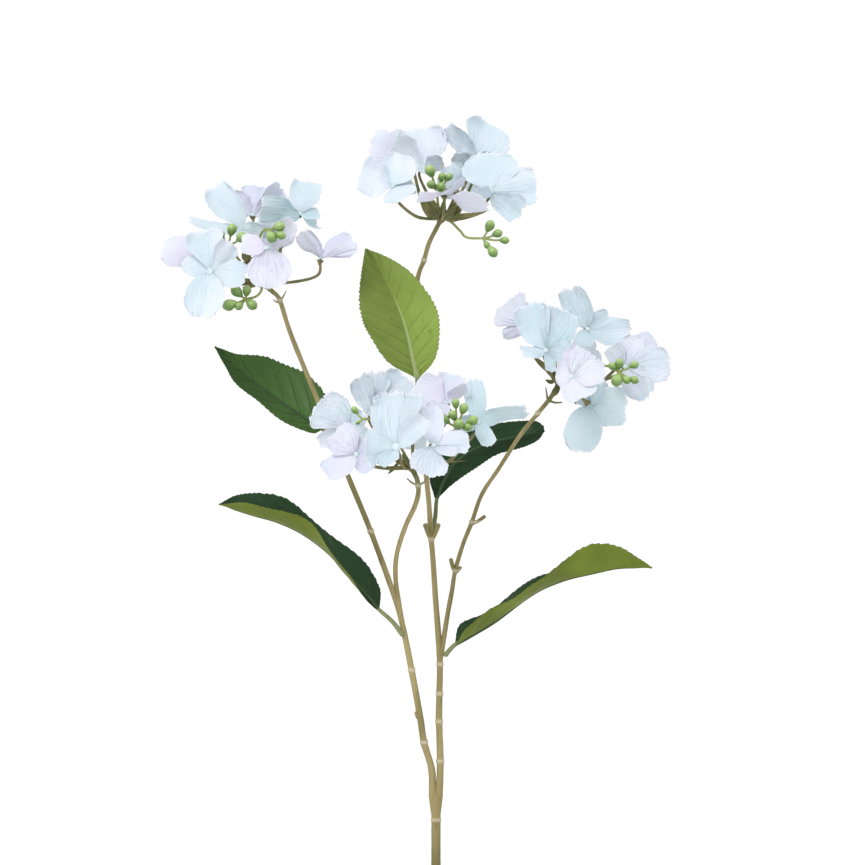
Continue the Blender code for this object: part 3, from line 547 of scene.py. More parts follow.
# Each leaf: its stalk, its blade's stations (midrib, then the steps to its two edges), whether the side
# that the stations turn out is the upper one, and how light it is.
LEAVES = {
    "leaf_upright": dict(
        upper_out=False, light=1.0,
        stalk=[(-10.6, 12.5, 238.5), (-10.4, 10.5, 241), (-11, 9.5, 243.5)],
        blade=[
            ((-11, 9.5, 243.5), (-2, 0, 0), (2, 0, 0)),
            ((-13.3, 7, 253.7), (-15, -2, -1.5), (13, -5, 0)),
            ((-16.2, 4.5, 267), (-23, -3, 0.5), (19, -7, 3)),
            ((-20.8, 2.5, 281.5), (-23, -3, -3), (21, -7, 3)),
            ((-27.7, 1.5, 296), (-17, -2, -4), (17, -6, 4)),
            ((-34, 3, 307.5), (-9, -1, -2), (9, -3, 3.5)),
            ((-40.5, 5, 317.3), (-0.5, 0, 0), (0.5, 0, 0)),
        ],
    ),
    "leaf_left": dict(
        upper_out=True, light=0.65,
        stalk=[(-58.5, -3.5, 206), (-61.5, 0, 209), (-66, 2, 213.3)],
        blade=[
            ((-66, 2, 213.3), (-1, -2, -1), (1, 2, 1)),
            ((-71.7, 4, 216.8), (-1, -8, -6), (9, 4, 14)),
            ((-85, 8, 225.4), (-4, -12, -7), (8.5, 8, 21)),
            ((-99.4, 12, 235.8), (-5, -11, -6), (7, 8, 18)),
            ((-113.3, 14, 246.2), (-3.5, -7, -5), (4, 5, 10.5)),
            ((-121, 14.5, 254), (-2, -3, -3.5), (2, 2, 4)),
            ((-128.3, 15, 261.3), (0, -0.5, 0), (0, 0.5, 0)),
        ],
    ),
    "leaf_back_right": dict(
        upper_out=False, light=0.0,
        stalk=[(-2, 12.5, 152), (-0.4, 16.5, 162), (0.6, 19.5, 172.8)],
        blade=[
            ((0.6, 19.5, 172.8), (1, 1, 0), (-1, -1, 0)),
            ((4, 22, 182), (4, 2, -3), (-8, -2, 6)),
            ((10.4, 25, 192.5), (6, 2, -7.5), (-9, -2, 13)),
            ((20.8, 30, 200.5), (5, 3, -9), (-6, -2, 14.5)),
            ((34, 34, 205.8), (3, 3, -8), (-3, -2, 10.5)),
            ((48.6, 37, 209), (2, 3, -7), (-1, -1, 8.5)),
            ((58.4, 38, 211.5), (1.5, 2, -5.5), (0, 0, 6.5)),
            ((63.6, 38.5, 213.3), (0.5, 0, -1.5), (0, 0, 1.5)),
        ],
    ),
    "leaf_low_left": dict(
        upper_out=True, light=0.0,
        stalk=[(-19.4, -6.4, 94.5), (-25, -9, 102), (-33.5, -10, 109.8)],
        blade=[
            ((-33.5, -10, 109.8), (-1, -2, 0), (1.5, 1, 1)),
            ((-39.9, -13, 117.3), (-2, -9, 1), (8, 8, 5)),
            ((-49.7, -17, 128.3), (-1, -13, 4), (10, 11, 7)),
            ((-61.3, -22, 141.6), (1, -15, 5), (6, 14, 7)),
            ((-75.7, -26, 152.6), (4, -14, 7.5), (4, 14, 11)),
            ((-90.2, -28, 159.5), (2, -13, 8.5), (3, 10, 14)),
            ((-104.6, -29, 163.6), (1, -10, 7.5), (1.5, 8, 14)),
            ((-115, -28.5, 166.8), (0.5, -6, 4.5), (1, 5, 9)),
            ((-123.7, -28, 170.5), (0, -0.5, 0), (0, 0.5, 0)),
        ],
    ),
    "leaf_low_right": dict(
        upper_out=False, light=0.0,
        stalk=[(5.6, -1.2, 82.5), (7.5, -3, 85), (11.6, -5, 89)],
        blade=[
            ((11.6, -5, 89), (0, -2, 0.5), (-1, 2, 0)),
            ((20.8, -8, 94.2), (-4, -10, 5), (-7, 9, 6)),
            ((34.1, -12, 102.3), (-5, -13, 8), (-5, 14, 5)),
            ((48.6, -16, 113.3), (-3, -16, 4), (-3, 16, 8)),
            ((60.1, -19, 120.8), (-4, -16, 6), (-3, 15, 6)),
            ((74.6, -21, 126.6), (-3, -12, 12), (-4, 15, 5)),
            ((89, -22, 130), (-1, -9, 17), (-1, 15, 6)),
            ((103.5, -22, 133), (1, -7, 14), (1, 13, 5)),
            ((115, -21.5, 133.5), (1, -4, 6.5), (1, 7, 3)),
            ((123.7, -21, 134), (0, -0.5, 0), (0, 0.5, 0)),
        ],
    ),
}
LEAF_VEINS = 8                  # side veins on each half
VEIN_LEAN = 0.20                # how far along the blade a side vein runs by the time it meets the edge
VEIN_WIDTH = 0.09               # as a share of the space between two side veins
LEAF_TEETH = 34
TOOTH_DEPTH = 0.05              # as a share of half the blade's width
EDGE_UNEVEN = 0.02
EDGE_WAVE = 0.0011
LEAF_BELLY = 0.0012             # how far each half swells between the midrib and its edge
PRESSED = 0.0003                # depth of the pressed veins
LEAF_CLOTH = 0.0004
LEAF_DARK = (0.014, 0.036, 0.013)
LEAF_DARK_FACE = (0.055, 0.115, 0.026)
LEAF_UNDER = (0.118, 0.152, 0.019)
LEAF_UNDER_LIGHT = (0.150, 0.212, 0.042)
VEIN_UPPER = (0.05, 0.12, 0.03)
VEIN_UNDER = (0.26, 0.34, 0.09)
RIB_DARK = (0.03, 0.07, 0.02)
RIB_LIGHT = (0.34, 0.43, 0.17)
RIB_RADII = (1.2, 0.9, 0.65, 0.45, 0.3)
PALE_RIB_RADII = (2.0, 1.5, 1.0, 0.6, 0.2)
PETIOLE_RADII = (1.5, 1.3, 1.1, 0.5)


def on_cloth(tree):
    """A place on a piece from its own UV map: X across it and Y along it."""
    place = add_node(tree, "ShaderNodeUVMap", uv_map="UVMap").outputs[0]
    return add_node(tree, "ShaderNodeSeparateXYZ", {0: place}).outputs


def vein_group():
    """1 on a leaf's midrib and side veins and 0 between them, worked out from the blade's own UV map."""
    group = bpy.data.node_groups.new("leaf veins", "ShaderNodeTree")
    group.interface.new_socket("Width", in_out="INPUT", socket_type="NodeSocketFloat")
    group.interface.new_socket("Veins", in_out="OUTPUT", socket_type="NodeSocketFloat")
    inside = add_node(group, "NodeGroupInput")
    place = on_cloth(group)
    half = maths(group, "ABSOLUTE", maths(group, "MULTIPLY_ADD", place["X"], 2, -1))
    along = maths(group, "SUBTRACT", place["Y"], times(group, half, VEIN_LEAN))
    count = times(group, along, LEAF_VEINS * (1 + VEIN_LEAN))
    apart = maths(group, "ABSOLUTE", maths(group, "SUBTRACT", maths(group, "FRACT", count), 0.5))
    side_vein = one_less(group, ramp(group, apart, 0.0, inside.outputs["Width"]))
    midrib = one_less(group, ramp(group, half, 0.0, 0.05))
    fading = one_less(group, ramp(group, half, 0.55, 1.0))
    veins = maths(group, "MAXIMUM", times(group, side_vein, fading), midrib)
    outside = add_node(group, "NodeGroupOutput")
    group.links.new(veins, outside.inputs["Veins"])
    return group


VEINS = vein_group()


def leaf_material(name, colour, lit_colour, vein_colour, vein_share, light, upper_out, roughness):
    """One face of a leaf, between its deep colour and its bleached one by how light the leaf is."""
    material, tree, shader = new_material(name, colour, roughness)
    shader.inputs["Specular IOR Level"].default_value = 0.14
    patches, specks = mottled(tree, 34)
    veins = add_node(tree, "ShaderNodeGroup", {"Width": VEIN_WIDTH}, node_tree=VEINS).outputs["Veins"]
    place = on_cloth(tree)
    base = [a + (b - a) * light for a, b in zip(colour, lit_colour)]
    paler = [value * 1.4 for value in base]
    # Painted light: one half of a leaf is painted lighter than the other, as if that half faced the lamp.
    across = place["X"] if upper_out else one_less(tree, place["X"])
    painted_lit_half = times(tree, ramp(tree, across, 0.46, 0.54), 0.3 + 0.4 * light)
    shade = blend_colours(tree, ramp(tree, patches, 0.3, 0.72), base, paler)
    shade = blend_colours(tree, painted_lit_half, shade, [value * 2 for value in base])
    tipward = times(tree, ramp(tree, place["Y"], 0.3, 1.0), 0.7 * light)
    shade = blend_colours(tree, tipward, shade, [value * 0.75 for value in base])
    worn = times(tree, ramp(tree, specks, 0.62, 0.8), 0.45)
    shade = blend_colours(tree, worn, shade, [value * 0.45 for value in base])
    shade = blend_colours(tree, times(tree, veins, vein_share), shade, vein_colour)
    tree.links.new(shade, shader.inputs["Base Color"])
    bump(tree, maths(tree, "ADD", veins, times(tree, specks, 0.9)), 0.0004, shader, 0.9)
    return material


def leaf_rise(half, along):
    """How far the pressed cloth stands out between its veins."""
    count = (along - half * VEIN_LEAN) * LEAF_VEINS * (1 + VEIN_LEAN)
    between = math.sin(math.pi * (count - 0.5)) ** 2
    swell = between * min(half * 4, 1) * min((1 - half) * 6, 1)
    return PRESSED * (swell + 1.5 * min(half * 3, 1))


def thicken(piece, name, thickness, side=0, far_material=0):
    """Gives a skin its thickness: side is -1 for behind it and 0 for half on each side."""
    skin = piece.modifiers.new(name, "SOLIDIFY")
    skin.thickness = thickness
    skin.offset = side
    skin.material_offset = far_material
    make_active(piece)
    bpy.ops.object.modifier_apply(modifier=skin.name)


def make_leaf(name, stalk, blade, upper_out, light):
    lines = [[spray_point(*station[0]) for station in blade]]
    lines += [[offset(*station[k]) for station in blade] for k in (1, 2)]
    chance = random.Random(name)
    wave = chance.uniform(0, 5)

    def place(u, v):
        side = 2 * u - 1 if upper_out else 1 - 2 * u
        half = abs(side)
        reach = curve_through(lines[1 if side < 0 else 2], v)
        width = math.sin(math.pi * min(max(v, 0.02), 0.98))
        tooth = 1 - (v * LEAF_TEETH) % 1
        edge = 1 - TOOTH_DEPTH * tooth * half**6
        edge += EDGE_UNEVEN * half * noise.noise(Vector((v * 6, side, wave)))
        here, ahead = curve_through(lines[0], v), curve_through(lines[0], min(v + 0.01, 1))
        back = curve_through(lines[0], max(v - 0.01, 0))
        other = curve_through(lines[2 if side < 0 else 1], v)
        out = (other - reach if side > 0 else reach - other).cross(ahead - back).normalized()
        out = out if upper_out else -out
        wavy = EDGE_WAVE * half**2 * math.sin(v * 19 + wave + side * 2) * width
        belly = LEAF_BELLY * math.sin(math.pi * half) * width
        return here + reach * half * edge + out * (leaf_rise(half, v) - wavy + belly)

    cloth = shaped_grid(name, 28, LEAF_TEETH * 5, place)
    cloth.data.materials.append(leaf_material(
        f"{name} upper face", LEAF_DARK, LEAF_DARK_FACE, VEIN_UPPER, 0.3, light, upper_out, 0.36))
    cloth.data.materials.append(leaf_material(
        f"{name} under face", LEAF_UNDER, LEAF_UNDER_LIGHT, VEIN_UNDER, 0.25, light, upper_out, 0.5))
    cloth.data.materials.append(LEAF_STALK)
    pale_rib = light > 0.5 and not upper_out
    rib_colour = RIB_LIGHT if pale_rib else RIB_DARK
    cloth.data.materials.append(new_material(f"{name} midrib", rib_colour, 0.7)[0])
    thicken(cloth, "cloth", LEAF_CLOTH, far_material=1)
    route = [spray_point(*p) for p in stalk] + [lines[0][1]]
    petiole = tube("petiole", route, taper(PETIOLE_RADII), 12, 0.001)
    ribs = PALE_RIB_RADII if pale_rib else RIB_RADII
    midrib = tube("midrib", lines[0][:-2] if pale_rib else lines[0][:-1], taper(ribs), 8, 0.0015)
    for shape, index in ((petiole, 2), (midrib, 3)):
        for polygon in shape.data.polygons:
            polygon.material_index = index
        for material in cloth.data.materials:
            shape.data.materials.append(material)
    leaf = join(f"{name}_stamped", [cloth, petiole, midrib])
    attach(leaf, "root")
    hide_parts(name)


LEAF_STALK = stem_material("leaf stalk plastic", STALK_OLIVE, STALK_PALE)
for leaf_name, leaf in LEAVES.items():
    make_leaf(leaf_name, **leaf)

# ==== The pedicels and buds =======================================================================
# Each head's thin plastic stalks: they leave one knuckle low, turn up and end in a small star-shaped cup
# behind each floret's eye. Shorter stalks carry sprays of round green buds, with painted light on their
# tops.

# Each head: its stem, its knuckle and its florets. A floret is the place of its eye from the knuckle and
# its petals; a petal is the place of its tip from the eye, and the step from its middle line to its edge
# where it is widest.
HEADS = {
    "top": dict(stem="middle_stem", hub=(3, 10, 335), florets=[
        ((-28, -14, 18), [((-19, -2, 7), (3, 2, 10)), ((6, 5, 19), (10, -1, -2)),
                          ((13, 10, 4), (-2, 4, 6)), ((7, -10, -8), (10, 1, 3))]),
        ((-10, 12, 31), [((-3, 7, 24), (15, 0, 1)), ((-19, -5, 12), (5, 1, 8)),
                         ((11, -1, 3), (1, -4, 5)), ((3, -10, -4), (5, 1, -1))]),
        ((19, 8, 34), [((11, 8, 23), (14, 2, -5)), ((-14, 5, 22), (5, -6, 2)),
                       ((-12, -7, 3), (1, -5, 3)), ((14, -4, -2), (-1, -5, 6))]),
        ((29, -14, 15), [((-1, 6, 23), (15, -2, 4)), ((26, 1, 2), (-1, 4, 11)),
                         ((17, -7, -12), (5, -3, 6)), ((-9, -8, -1), (1, -4, 3))]),
        ((2, -26, 13), [((-16, -2, -3), (1, -7, 2)), ((26, -4, -6), (2, -8, 5)),
                        ((11, 10, 6), (4, -2, 4)), ((0, -12, -1), (5, 0, 0))]),
        ((8, 10, 17), [((-4, 8, 15), (8, -2, 1)), ((5, 9, 9), (3, -2, 5)),
                       ((-9, 8, 0), (1, -3, 4)), ((0, 12, -4), (5, 1, 1))]),
        ((-24, 28, 42), [((-17, -2, 4), (2, 2, 9)), ((-4, 8, 12), (8, 1, 2)),
                         ((12, 8, 2), (1, -2, 7)), ((-2, 10, -12), (7, 2, 2))]),
        ((20, 32, 30), [((16, 4, 10), (-3, 0, 8)), ((-10, 6, 12), (6, 0, 5)),
                        ((4, 12, -12), (8, 1, 2)), ((-8, 8, -6), (-3, 1, 5))]),
    ]),
    "left": dict(stem="left_stem", hub=(-101, -12, 297), florets=[
        ((-28, -16, 6), [((-3, 5, 24), (11, -1, 1)), ((12, 2, 16), (6, 3, -3)), ((21, -5, -2), (4, -3, -8)),
                         ((-5, -5, -27), (11, 0, -1)), ((-16, 6, 7), (2, 2, 6))]),
        ((-11, 0, 31), [((-15, 6, 26), (7, -3, 4)), ((-29, 2, 6), (1, -6, -3.5)),
                        ((13, 0, -2), (1, -3, 4.5)), ((4, -9, -7), (4.5, 1, 0))]),
        ((-5, 14, 40), [((3, 8, 17), (10, 0, 2)), ((17, 6, 16), (4, 2, -5)),
                        ((-15, 2, 11), (4, -3, 5)), ((13, -2, 7), (-2, -2, 4))]),
        ((23, 2, 40), [((-22, -14, 0), (1, -5, 6.5)), ((4, 8, 20), (8.5, 0, -1)),
                       ((11, -9, -2), (2, -4, -3)), ((8, 16, -4), (-2, 3, 6))]),
        ((5, -30, 19), [((3, -6, -23), (12, 0, 1)), ((-14.5, -2, 3), (1, 2, 6)),
                        ((15, 4, 15), (5, 2, -4)), ((-1, 5, 6), (4, -1, 0))]),
        ((35, -6, 14), [((-12, -6, 13), (3, -5, 3)), ((-8, 6, 16), (3, -2, 1.5)),
                        ((19, 6, 10), (-3, 3, 6.5)), ((20, -8, 6), (1, -5, 2))]),
        ((-38, 8, 16), [((-19, 0, 5), (2, 2, 9)), ((4, 10, 14), (7, 1, -1)),
                        ((10, 10, -4), (1, 1, 6)), ((2, 12, -8), (6, 1, 1))]),
        ((3, 34, 26), [((-14, 8, 6), (1, 0, 7)), ((14, 8, 6), (-1, 0, 7)),
                       ((0, 10, 14), (7, 0, 0)), ((1, 14, -12), (7, 1, 0))]),
    ]),
    "right": dict(stem="right_stem", hub=(72, 5, 240), florets=[
        ((-9, -22, 18), [((-9, 4, 27), (9, -3, 4)), ((9, 2, 24), (11, -1, -4)), ((13, -7, -1), (2, 3, 7)),
                         ((-14, -7, 1), (1, -5, -3)), ((4, -7, -12), (2.5, -1, 1))]),
        ((-19, 4, 33), [((-13, 2, 13), (7, 2, 10)), ((-14, 2, -6), (2, -1, 5)),
                        ((2, 10, 12), (7, 1, 0)), ((10, 10, -3), (1, 1, 6))]),
        ((16, 4, 31), [((-10, 6, 24), (7, -2, 3)), ((25, 4, -2), (2, 3, 8)),
                       ((13, 10, 9), (-2, 2, 5)), ((-4, -8, -11), (6, 0, 0))]),
        ((37, -10, 9), [((7, 5, 17), (8, 0, -2)), ((26, 0, 2), (-1, 4, 10)),
                        ((-8, 3, 12), (5, 0, 3)), ((13, -4, -18), (7, 0, 5))]),
        ((5, -40, 3), [((8, 5, 16), (8, 0, -4)), ((19, -2, 2), (0, 3, 7)),
                       ((6, -6, -13), (11, 0, -2)), ((-9, -2, 1), (2, 2, 7))]),
        ((16, -14, -13), [((-6, 3, -27), (10.5, 0, -1)), ((22, -1, -2), (1, -3, 11)),
                          ((8, -3, 14), (5, 1, -2)), ((-6, 6, 8), (4, 0, 3))]),
        ((44, 18, 18), [((11, 2, 9), (-4, 0, 5)), ((0, 8, 10), (6, 0, 0)),
                        ((14, 6, -6), (1, 0, 6)), ((-2, 10, -12), (6, 1, 0))]),
        ((14, 30, 13), [((2, 8, 14), (7, 0, 0)), ((-14, 8, 4), (1, 0, 7)),
                        ((3, 10, -12), (7, 1, 0)), ((11, 10, 3), (-1, 1, 5))]),
    ]),
    "centre": dict(stem="centre_stem", hub=(-13.3, -48, 191), florets=[
        ((-9, -30, 12), [((2, 8, 30), (15, -2, 2)), ((15, -5, 17), (4, 2, -6)),
                         ((-17, -8, -3), (-1, 3, 12)), ((-8, -9, -11), (4, -2, -3))]),
        ((-35, -10, 23), [((-19, 0, 12), (5, 3, 11)), ((-18, 2, -9), (2, -1, 6)),
                          ((7, 4, 8), (4, 0, -3)), ((8, -10, -6), (4, 1, 4))]),
        ((-22, 10, 32), [((-8, -1, 20), (7, -1, 3)), ((1, 8, 23), (8.5, 0, 0)),
                         ((19, 6, 19), (9, -1, -7)), ((-2, -10, -2), (5, 0, 0))]),
        ((-31, -30, 8), [((-13, 3, 13), (6, 2, 7)), ((-18, -6, -11), (-3, 3, 6)),
                         ((6, 6, 8), (4, 0, -3)), ((8, 2, -9), (4, 0, 4))]),
        ((19, 4, 37), [((-17, 2, 11), (5, 3, 8)), ((4, 8, 17), (8, 0, -1)),
                       ((11, -5, 10), (-2, -3, 3)), ((-7, -12, -5), (5, -1, -4))]),
        ((12, -26, 13), [((-4, -7, -17), (10, 0, -3)), ((-1, 5, 21), (6, 0, 1)),
                         ((20, -2, 1), (-1, 3, 7)), ((14, -10, -5), (3, 1, 2))]),
        ((37, 0, 26), [((-3, 6, 25), (6, -1, 0)), ((28, -4, 7), (-1, -5, 4)),
                       ((7, -6, -13), (4.5, 1, 1)), ((-14, -3, -3), (0, -3, 5))]),
        ((0, 30, 25), [((-16, 8, 3), (1, 0, 7)), ((0, 12, 16), (7, 0, 0)),
                       ((16, 8, 2), (1, 0, 7)), ((1, 14, -14), (7, 0, 0))]),
    ]),
}
BUD_SPRAYS = {
    "top": [
        ([(-2, -4, 10), (-2, -6, 16)],
         [(-6.5, -12, 27.4, 3.1), (0.5, -9, 23.9, 2.3), (4.7, -9, 23.9, 2.2), (-5.9, -11, 19.3, 2.5),
          (-0.1, -9, 18, 2.9)]),
        ([(5.1, -4, -1.5), (10.9, -8, -7.3), (14.9, -10, -11.3), (24.2, -12, -11.9)],
         [(28.2, -13, -4.4, 2.9), (32.8, -12, -9, 2.5), (36.9, -13, -13.1, 2.3), (26.5, -12, -15.9, 2),
          (29.9, -13, -20, 2.9)]),
    ],
    "left": [
        ([(-8, -4, 8), (-18, -9, 21)],
         [(-15.7, -10, 30.5, 2.9), (-9.5, -15, 25.5, 3.1), (-21.5, -11, 27.6, 1.7)]),
        ([(-2, -14, 17), (1.5, -22, 27), (4.5, -29, 29.5)],
         [(12.6, -34, 30.5, 2.9), (8, -33, 24.5, 3.1), (13.5, -35, 25.5, 2.5)]),
        ([(1, -5, -4), (-1.9, -8, -8), (-8, -10, -9.7)],
         [(-13.4, -10, -5.1, 3.1), (-7.1, -11, -4.5, 2.6), (-17.5, -12, -13.2, 3.4),
          (-11.7, -12, -13.8, 2.3), (-4.2, -11, -13, 3)]),
    ],
    "right": [
        ([(13, -5, 5), (25, -10, 9.5), (32.5, -21, 6)],
         [(33.2, -22, 10.8, 2.6), (29, -22, 9.1, 2.2), (41.9, -23, 9.8, 2.3), (31.5, -25, 0.6, 3.3),
          (37.2, -25, 1, 2.3), (41.8, -25, 1, 2.3)]),
        ([(-4, -4, 14), (-9, -12, 25)],
         [(-10.2, -14, 28.5, 2)]),
    ],
    "centre": [
        ([(-12, -10, 20), (-22, -16, 27), (-28, -20, 27.5)],
         [(-32.4, -19, 32.7, 2), (-30.5, -20, 25.5, 1.2)]),
        ([(10, -5, 10), (22.5, -12, 17), (25, -16, 23)],
         [(24.3, -17, 36.7, 2.3), (28.9, -16, 33.8, 2.6), (17.3, -18, 27.6, 2.9), (22.5, -18, 30, 2.3),
          (26, -19, 24.6, 3.1), (31, -17, 22.9, 2.3), (34.1, -16, 26.8, 2.8)]),
    ],
}
# The olive scales of each head: where each starts and ends from the knuckle, and half its width.
BRACTS = {
    "top": [
        ((-1, -3, 1), (-13, -18, 11), 2.4), ((0, -4, 1), (-7, -20, 13), 2.2),
        ((1, -4, 0), (9, -20, 8), 2.6),
        ((2, -3, 0), (17, -16, 2.5), 2.2), ((0, -2, 0), (-9, -10, 6), 2.4), ((3, -2, 0), (27, -12, 4), 1.6),
        ((0, -4, 1), (2, -20, 11), 2.0), ((0, -3, 2), (-10, -10, 14), 2.6), ((1, -2, 1), (14, -8, 9), 2.4),
    ],
    "left": [
        ((-6, -8, 12), (-17, -12, 5), 2.0), ((-6, -8, 12), (1, -12, 14.5), 1.8),
        ((-6, -8, 12), (-10, -6, 17), 2.0),
        ((-6, -8, 12), (-3, -12, 8), 2.2), ((0, -3, 1), (-11, -8, 2), 1.4),
        ((0, -3, 0), (-10, -9, -3), 1.2),
    ],
    "right": [
        ((-2, -4, 4), (-17, -10, 16), 1.8), ((-1, -4, 3), (-11, -14, 10), 2.0),
        ((-4, -3, 0), (-9, -6, 1.5), 1.2),
        ((-1, -2, -2), (-6, -4, -9), 2.0), ((2, -4, -2), (9, -12, -13), 1.5),
        ((0, -3, 0), (3, -12, 9), 2.4),
    ],
    "centre": [
        ((-1, -4, 2), (-12, -14, 6), 1.8), ((-2, -5, 1), (-19, -12, 0.5), 1.2),
        ((-8, -8, 3), (-14, -12, -3.5), 1.0),
        ((0, -5, 1), (-6, -16, 8), 2.0), ((1, -4, 1), (7, -14, 9), 1.8), ((4, -4, 6), (30, -18, 4), 1.0),
    ],
}
HUB_RADIUS = 0.0026
PEDICEL_RADIUS = 0.0008
PEDICEL_OUT = 0.4               # how far out a level pedicel turns up, as a share of its whole step
PEDICEL_RISE = 0.4
PEDICEL_UNEVEN = (300, 0.12)    # how many dents to the metre, and how deep as a share of the radius
NECK_RADII = (1.5, 2.2)
BUD_STALK_RADII = (0.8, 0.7)
TWIG_RADII = (0.65, 0.6)
CUP_RADIUS = 0.0023
CUP_LENGTH = 0.0035
CUP_LOBES = (5, 0.22)           # how many, and how far they stand out as a share of the radius
BUD_STRETCH = 1.04
BUD_NECK = 0.5
BUD_TIP = 0.10
BRACT_THICKNESS = 0.0004
BRACT_FOLD = 0.35
BRACT_BEND = 0.12
PEDICEL_GREEN = (0.105, 0.115, 0.025)
PEDICEL_TAN = (0.20, 0.17, 0.06)
BUD_GREEN = (0.11, 0.22, 0.035)
# The next green is painted light: the colour a bud is painted where its surface looks up.
BUD_PAINTED_LIGHT = (0.40, 0.56, 0.19)
BUD_STALK_GREEN = (0.24, 0.29, 0.07)
BUD_STALK_PALE = (0.33, 0.38, 0.13)


def facing_of(eye, petals):
    """The way a floret looks, square to the ring of its petals' tips, and its petals in order round it."""
    ring = list(petals)
    rough = sum((tip for tip, _ in ring), Vector()) / len(ring) + eye * 0.5
    right = rough.orthogonal().normalized()
    up = rough.normalized().cross(right)
    ring.sort(key=lambda petal: math.atan2(petal[0].dot(up), petal[0].dot(right)))
    square = Vector()
    for (one, _), (following, _) in zip(ring, ring[1:] + ring[:1]):
        square += one.cross(following)
    return square.normalized(), ring


def steps_of(petals):
    """A floret's petals in metres: the step to each tip and the step to its side."""
    return [(offset(*tip), offset(*side)) for tip, side in petals]


def ball(name, centre, radius, stretch=1.0, way=Vector((0, 0, 1)), neck=0.0):
    """A round body with its tip along a way, flattened or drawn out by stretch.

    A neck draws its other end out to the stalk.
    """
    side = way.orthogonal().normalized()
    other = way.cross(side)

    def place(u, v):
        angle, tilt = 2 * math.pi * u, math.pi * (v - 0.5)
        tip = BUD_TIP * max(math.sin(tilt), 0) ** 12
        drawn = neck * max(-math.sin(tilt), 0) ** 2.5
        out = math.cos(tilt) * (side * math.cos(angle) + other * math.sin(angle))
        out *= 1 - 0.25 * min(drawn, 1)
        return centre + radius * (out + way * (math.sin(tilt) * stretch + tip - drawn))

    return shaped_grid(name, 20, 16, place, rolled=True)


def pedicel_material(name, one, other):
    """Thin moulded plastic in two near shades."""
    material, tree, shader = new_material(name, one, 0.5)
    patches, specks = mottled(tree, 90)
    colour = blend_colours(tree, ramp(tree, patches, 0.4, 0.62), one, other)
    tree.links.new(colour, shader.inputs["Base Color"])
    bump(tree, specks, 0.0003, shader, 0.6)
    return material


def bud_material():
    """Green, painted lighter where the bud looks up as painted light, with a little bloom on it."""
    material, tree, shader = new_material("bud plastic", BUD_GREEN, 0.3)
    shader.inputs["Coat Weight"].default_value = 0.4
    patches, specks = mottled(tree, 160)
    normal = add_node(tree, "ShaderNodeNewGeometry").outputs["Normal"]
    up = add_node(tree, "ShaderNodeSeparateXYZ", {0: normal}).outputs["Z"]
    # Painted light: the green gets lighter where the bud's surface looks up.
    lit = ramp(tree, maths(tree, "ADD", up, patches), -0.2, 1.5)
    colour = blend_colours(tree, lit, BUD_GREEN, BUD_PAINTED_LIGHT)
    tree.links.new(colour, shader.inputs["Base Color"])
    bump(tree, specks, 0.0002, shader, 0.5)
    return material


def pedicel_radius(place, point):
    uneven = PEDICEL_UNEVEN[1] * noise.noise(point * PEDICEL_UNEVEN[0])
    return PEDICEL_RADIUS * (1.3 - 0.3 * place) * (1 + uneven)


def cup(end, facing):
    """The star-shaped cup behind a floret's eye: blunt lobes round the end of its stalk."""
    side = facing.orthogonal().normalized()
    other = facing.cross(side)

    def place(u, v):
        angle = 2 * math.pi * u
        lobes = 1 + CUP_LOBES[1] * math.cos(CUP_LOBES[0] * angle) * v
        radius = PEDICEL_RADIUS + (CUP_RADIUS - PEDICEL_RADIUS) * v**1.6 * lobes
        if v in (0, 1):
            radius = 0
        depth = -CUP_LENGTH * (1 - v)
        return end + facing * depth + radius * (side * math.cos(angle) + other * math.sin(angle))

    return shaped_grid("cup", 30, 8, place, rolled=True)


def bract(start, end, half_width):
    """A pointed scale of thin plastic, folded along its middle."""
    way = end - start
    side = way.cross(Vector((0, 1, 0.3))).normalized()
    back = way.cross(side).normalized()

    def place(u, v):
        part = 2 * u - 1
        width = half_width * math.sin(math.pi * (0.12 + 0.88 * v)) ** 0.8
        fold = BRACT_FOLD * abs(part) * width
        bend = BRACT_BEND * way.length * math.sin(math.pi * v)
        return start + way * v + side * part * width + back * (fold + bend)

    shape = shaped_grid("bract", 6, 12, place)
    thicken(shape, "plastic", BRACT_THICKNESS)
    return shape


def make_pedicels(name, head):
    hub = spray_point(*head["hub"])
    below = spray_point(*STEMS[head["stem"]][0][-1])
    pieces = [
        ball("knuckle", hub, HUB_RADIUS),
        tube("neck", [below + (hub - below).normalized() * 0.0004, hub], taper(NECK_RADII), 14, 0.0005),
    ]
    for eye, petals in head["florets"]:
        facing, _ = facing_of(offset(*eye), steps_of(petals))
        end = hub + offset(*eye) - facing * 0.001
        way = end - hub
        flat = math.hypot(way.x, way.y) / way.length
        out = PEDICEL_OUT * flat + 0.15
        first = hub + Vector((way.x * out, way.y * out, way.z * PEDICEL_RISE * (1 - flat)))
        last = end - facing * way.length * 0.25
        pieces.append(tube("pedicel", [hub, first, last, end], pedicel_radius, 10, 0.0012))
        pieces.append(cup(end, facing))
    twig_pieces = []
    bud_pieces = []
    for route, spray in BUD_SPRAYS[name]:
        points = [hub] + [hub + offset(*p) for p in route]
        twig_pieces.append(tube("bud stalk", points, taper(BUD_STALK_RADII), 10, 0.0012))
        for right, back, up, radius in spray:
            centre = hub + offset(right, back, up)
            way = (centre - points[-1]).normalized()
            middle = (points[-1] + centre) / 2 + Vector((0, 0, -0.0005))
            twig = [points[-1], middle, centre - way * radius * MM]
            twig_pieces.append(tube("twig", twig, taper(TWIG_RADII), 8, 0.001))
            bud_pieces.append(ball("bud", centre, radius * MM, BUD_STRETCH, way, BUD_NECK))
    for start, end, half_width in BRACTS[name]:
        pieces.append(bract(hub + offset(*start), hub + offset(*end), half_width * MM))
    kinds = {
        "stalks": (pieces, STALK_PLASTIC),
        "twigs": (twig_pieces, TWIG_PLASTIC),
        "buds": (bud_pieces, BUD_PLASTIC),
    }
    for kind, (parts, material) in kinds.items():
        piece = join(f"{name}_{kind}", parts)
        piece.data.materials.append(material)
        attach(piece, "root")
        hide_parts(f"{name}_pedicels")


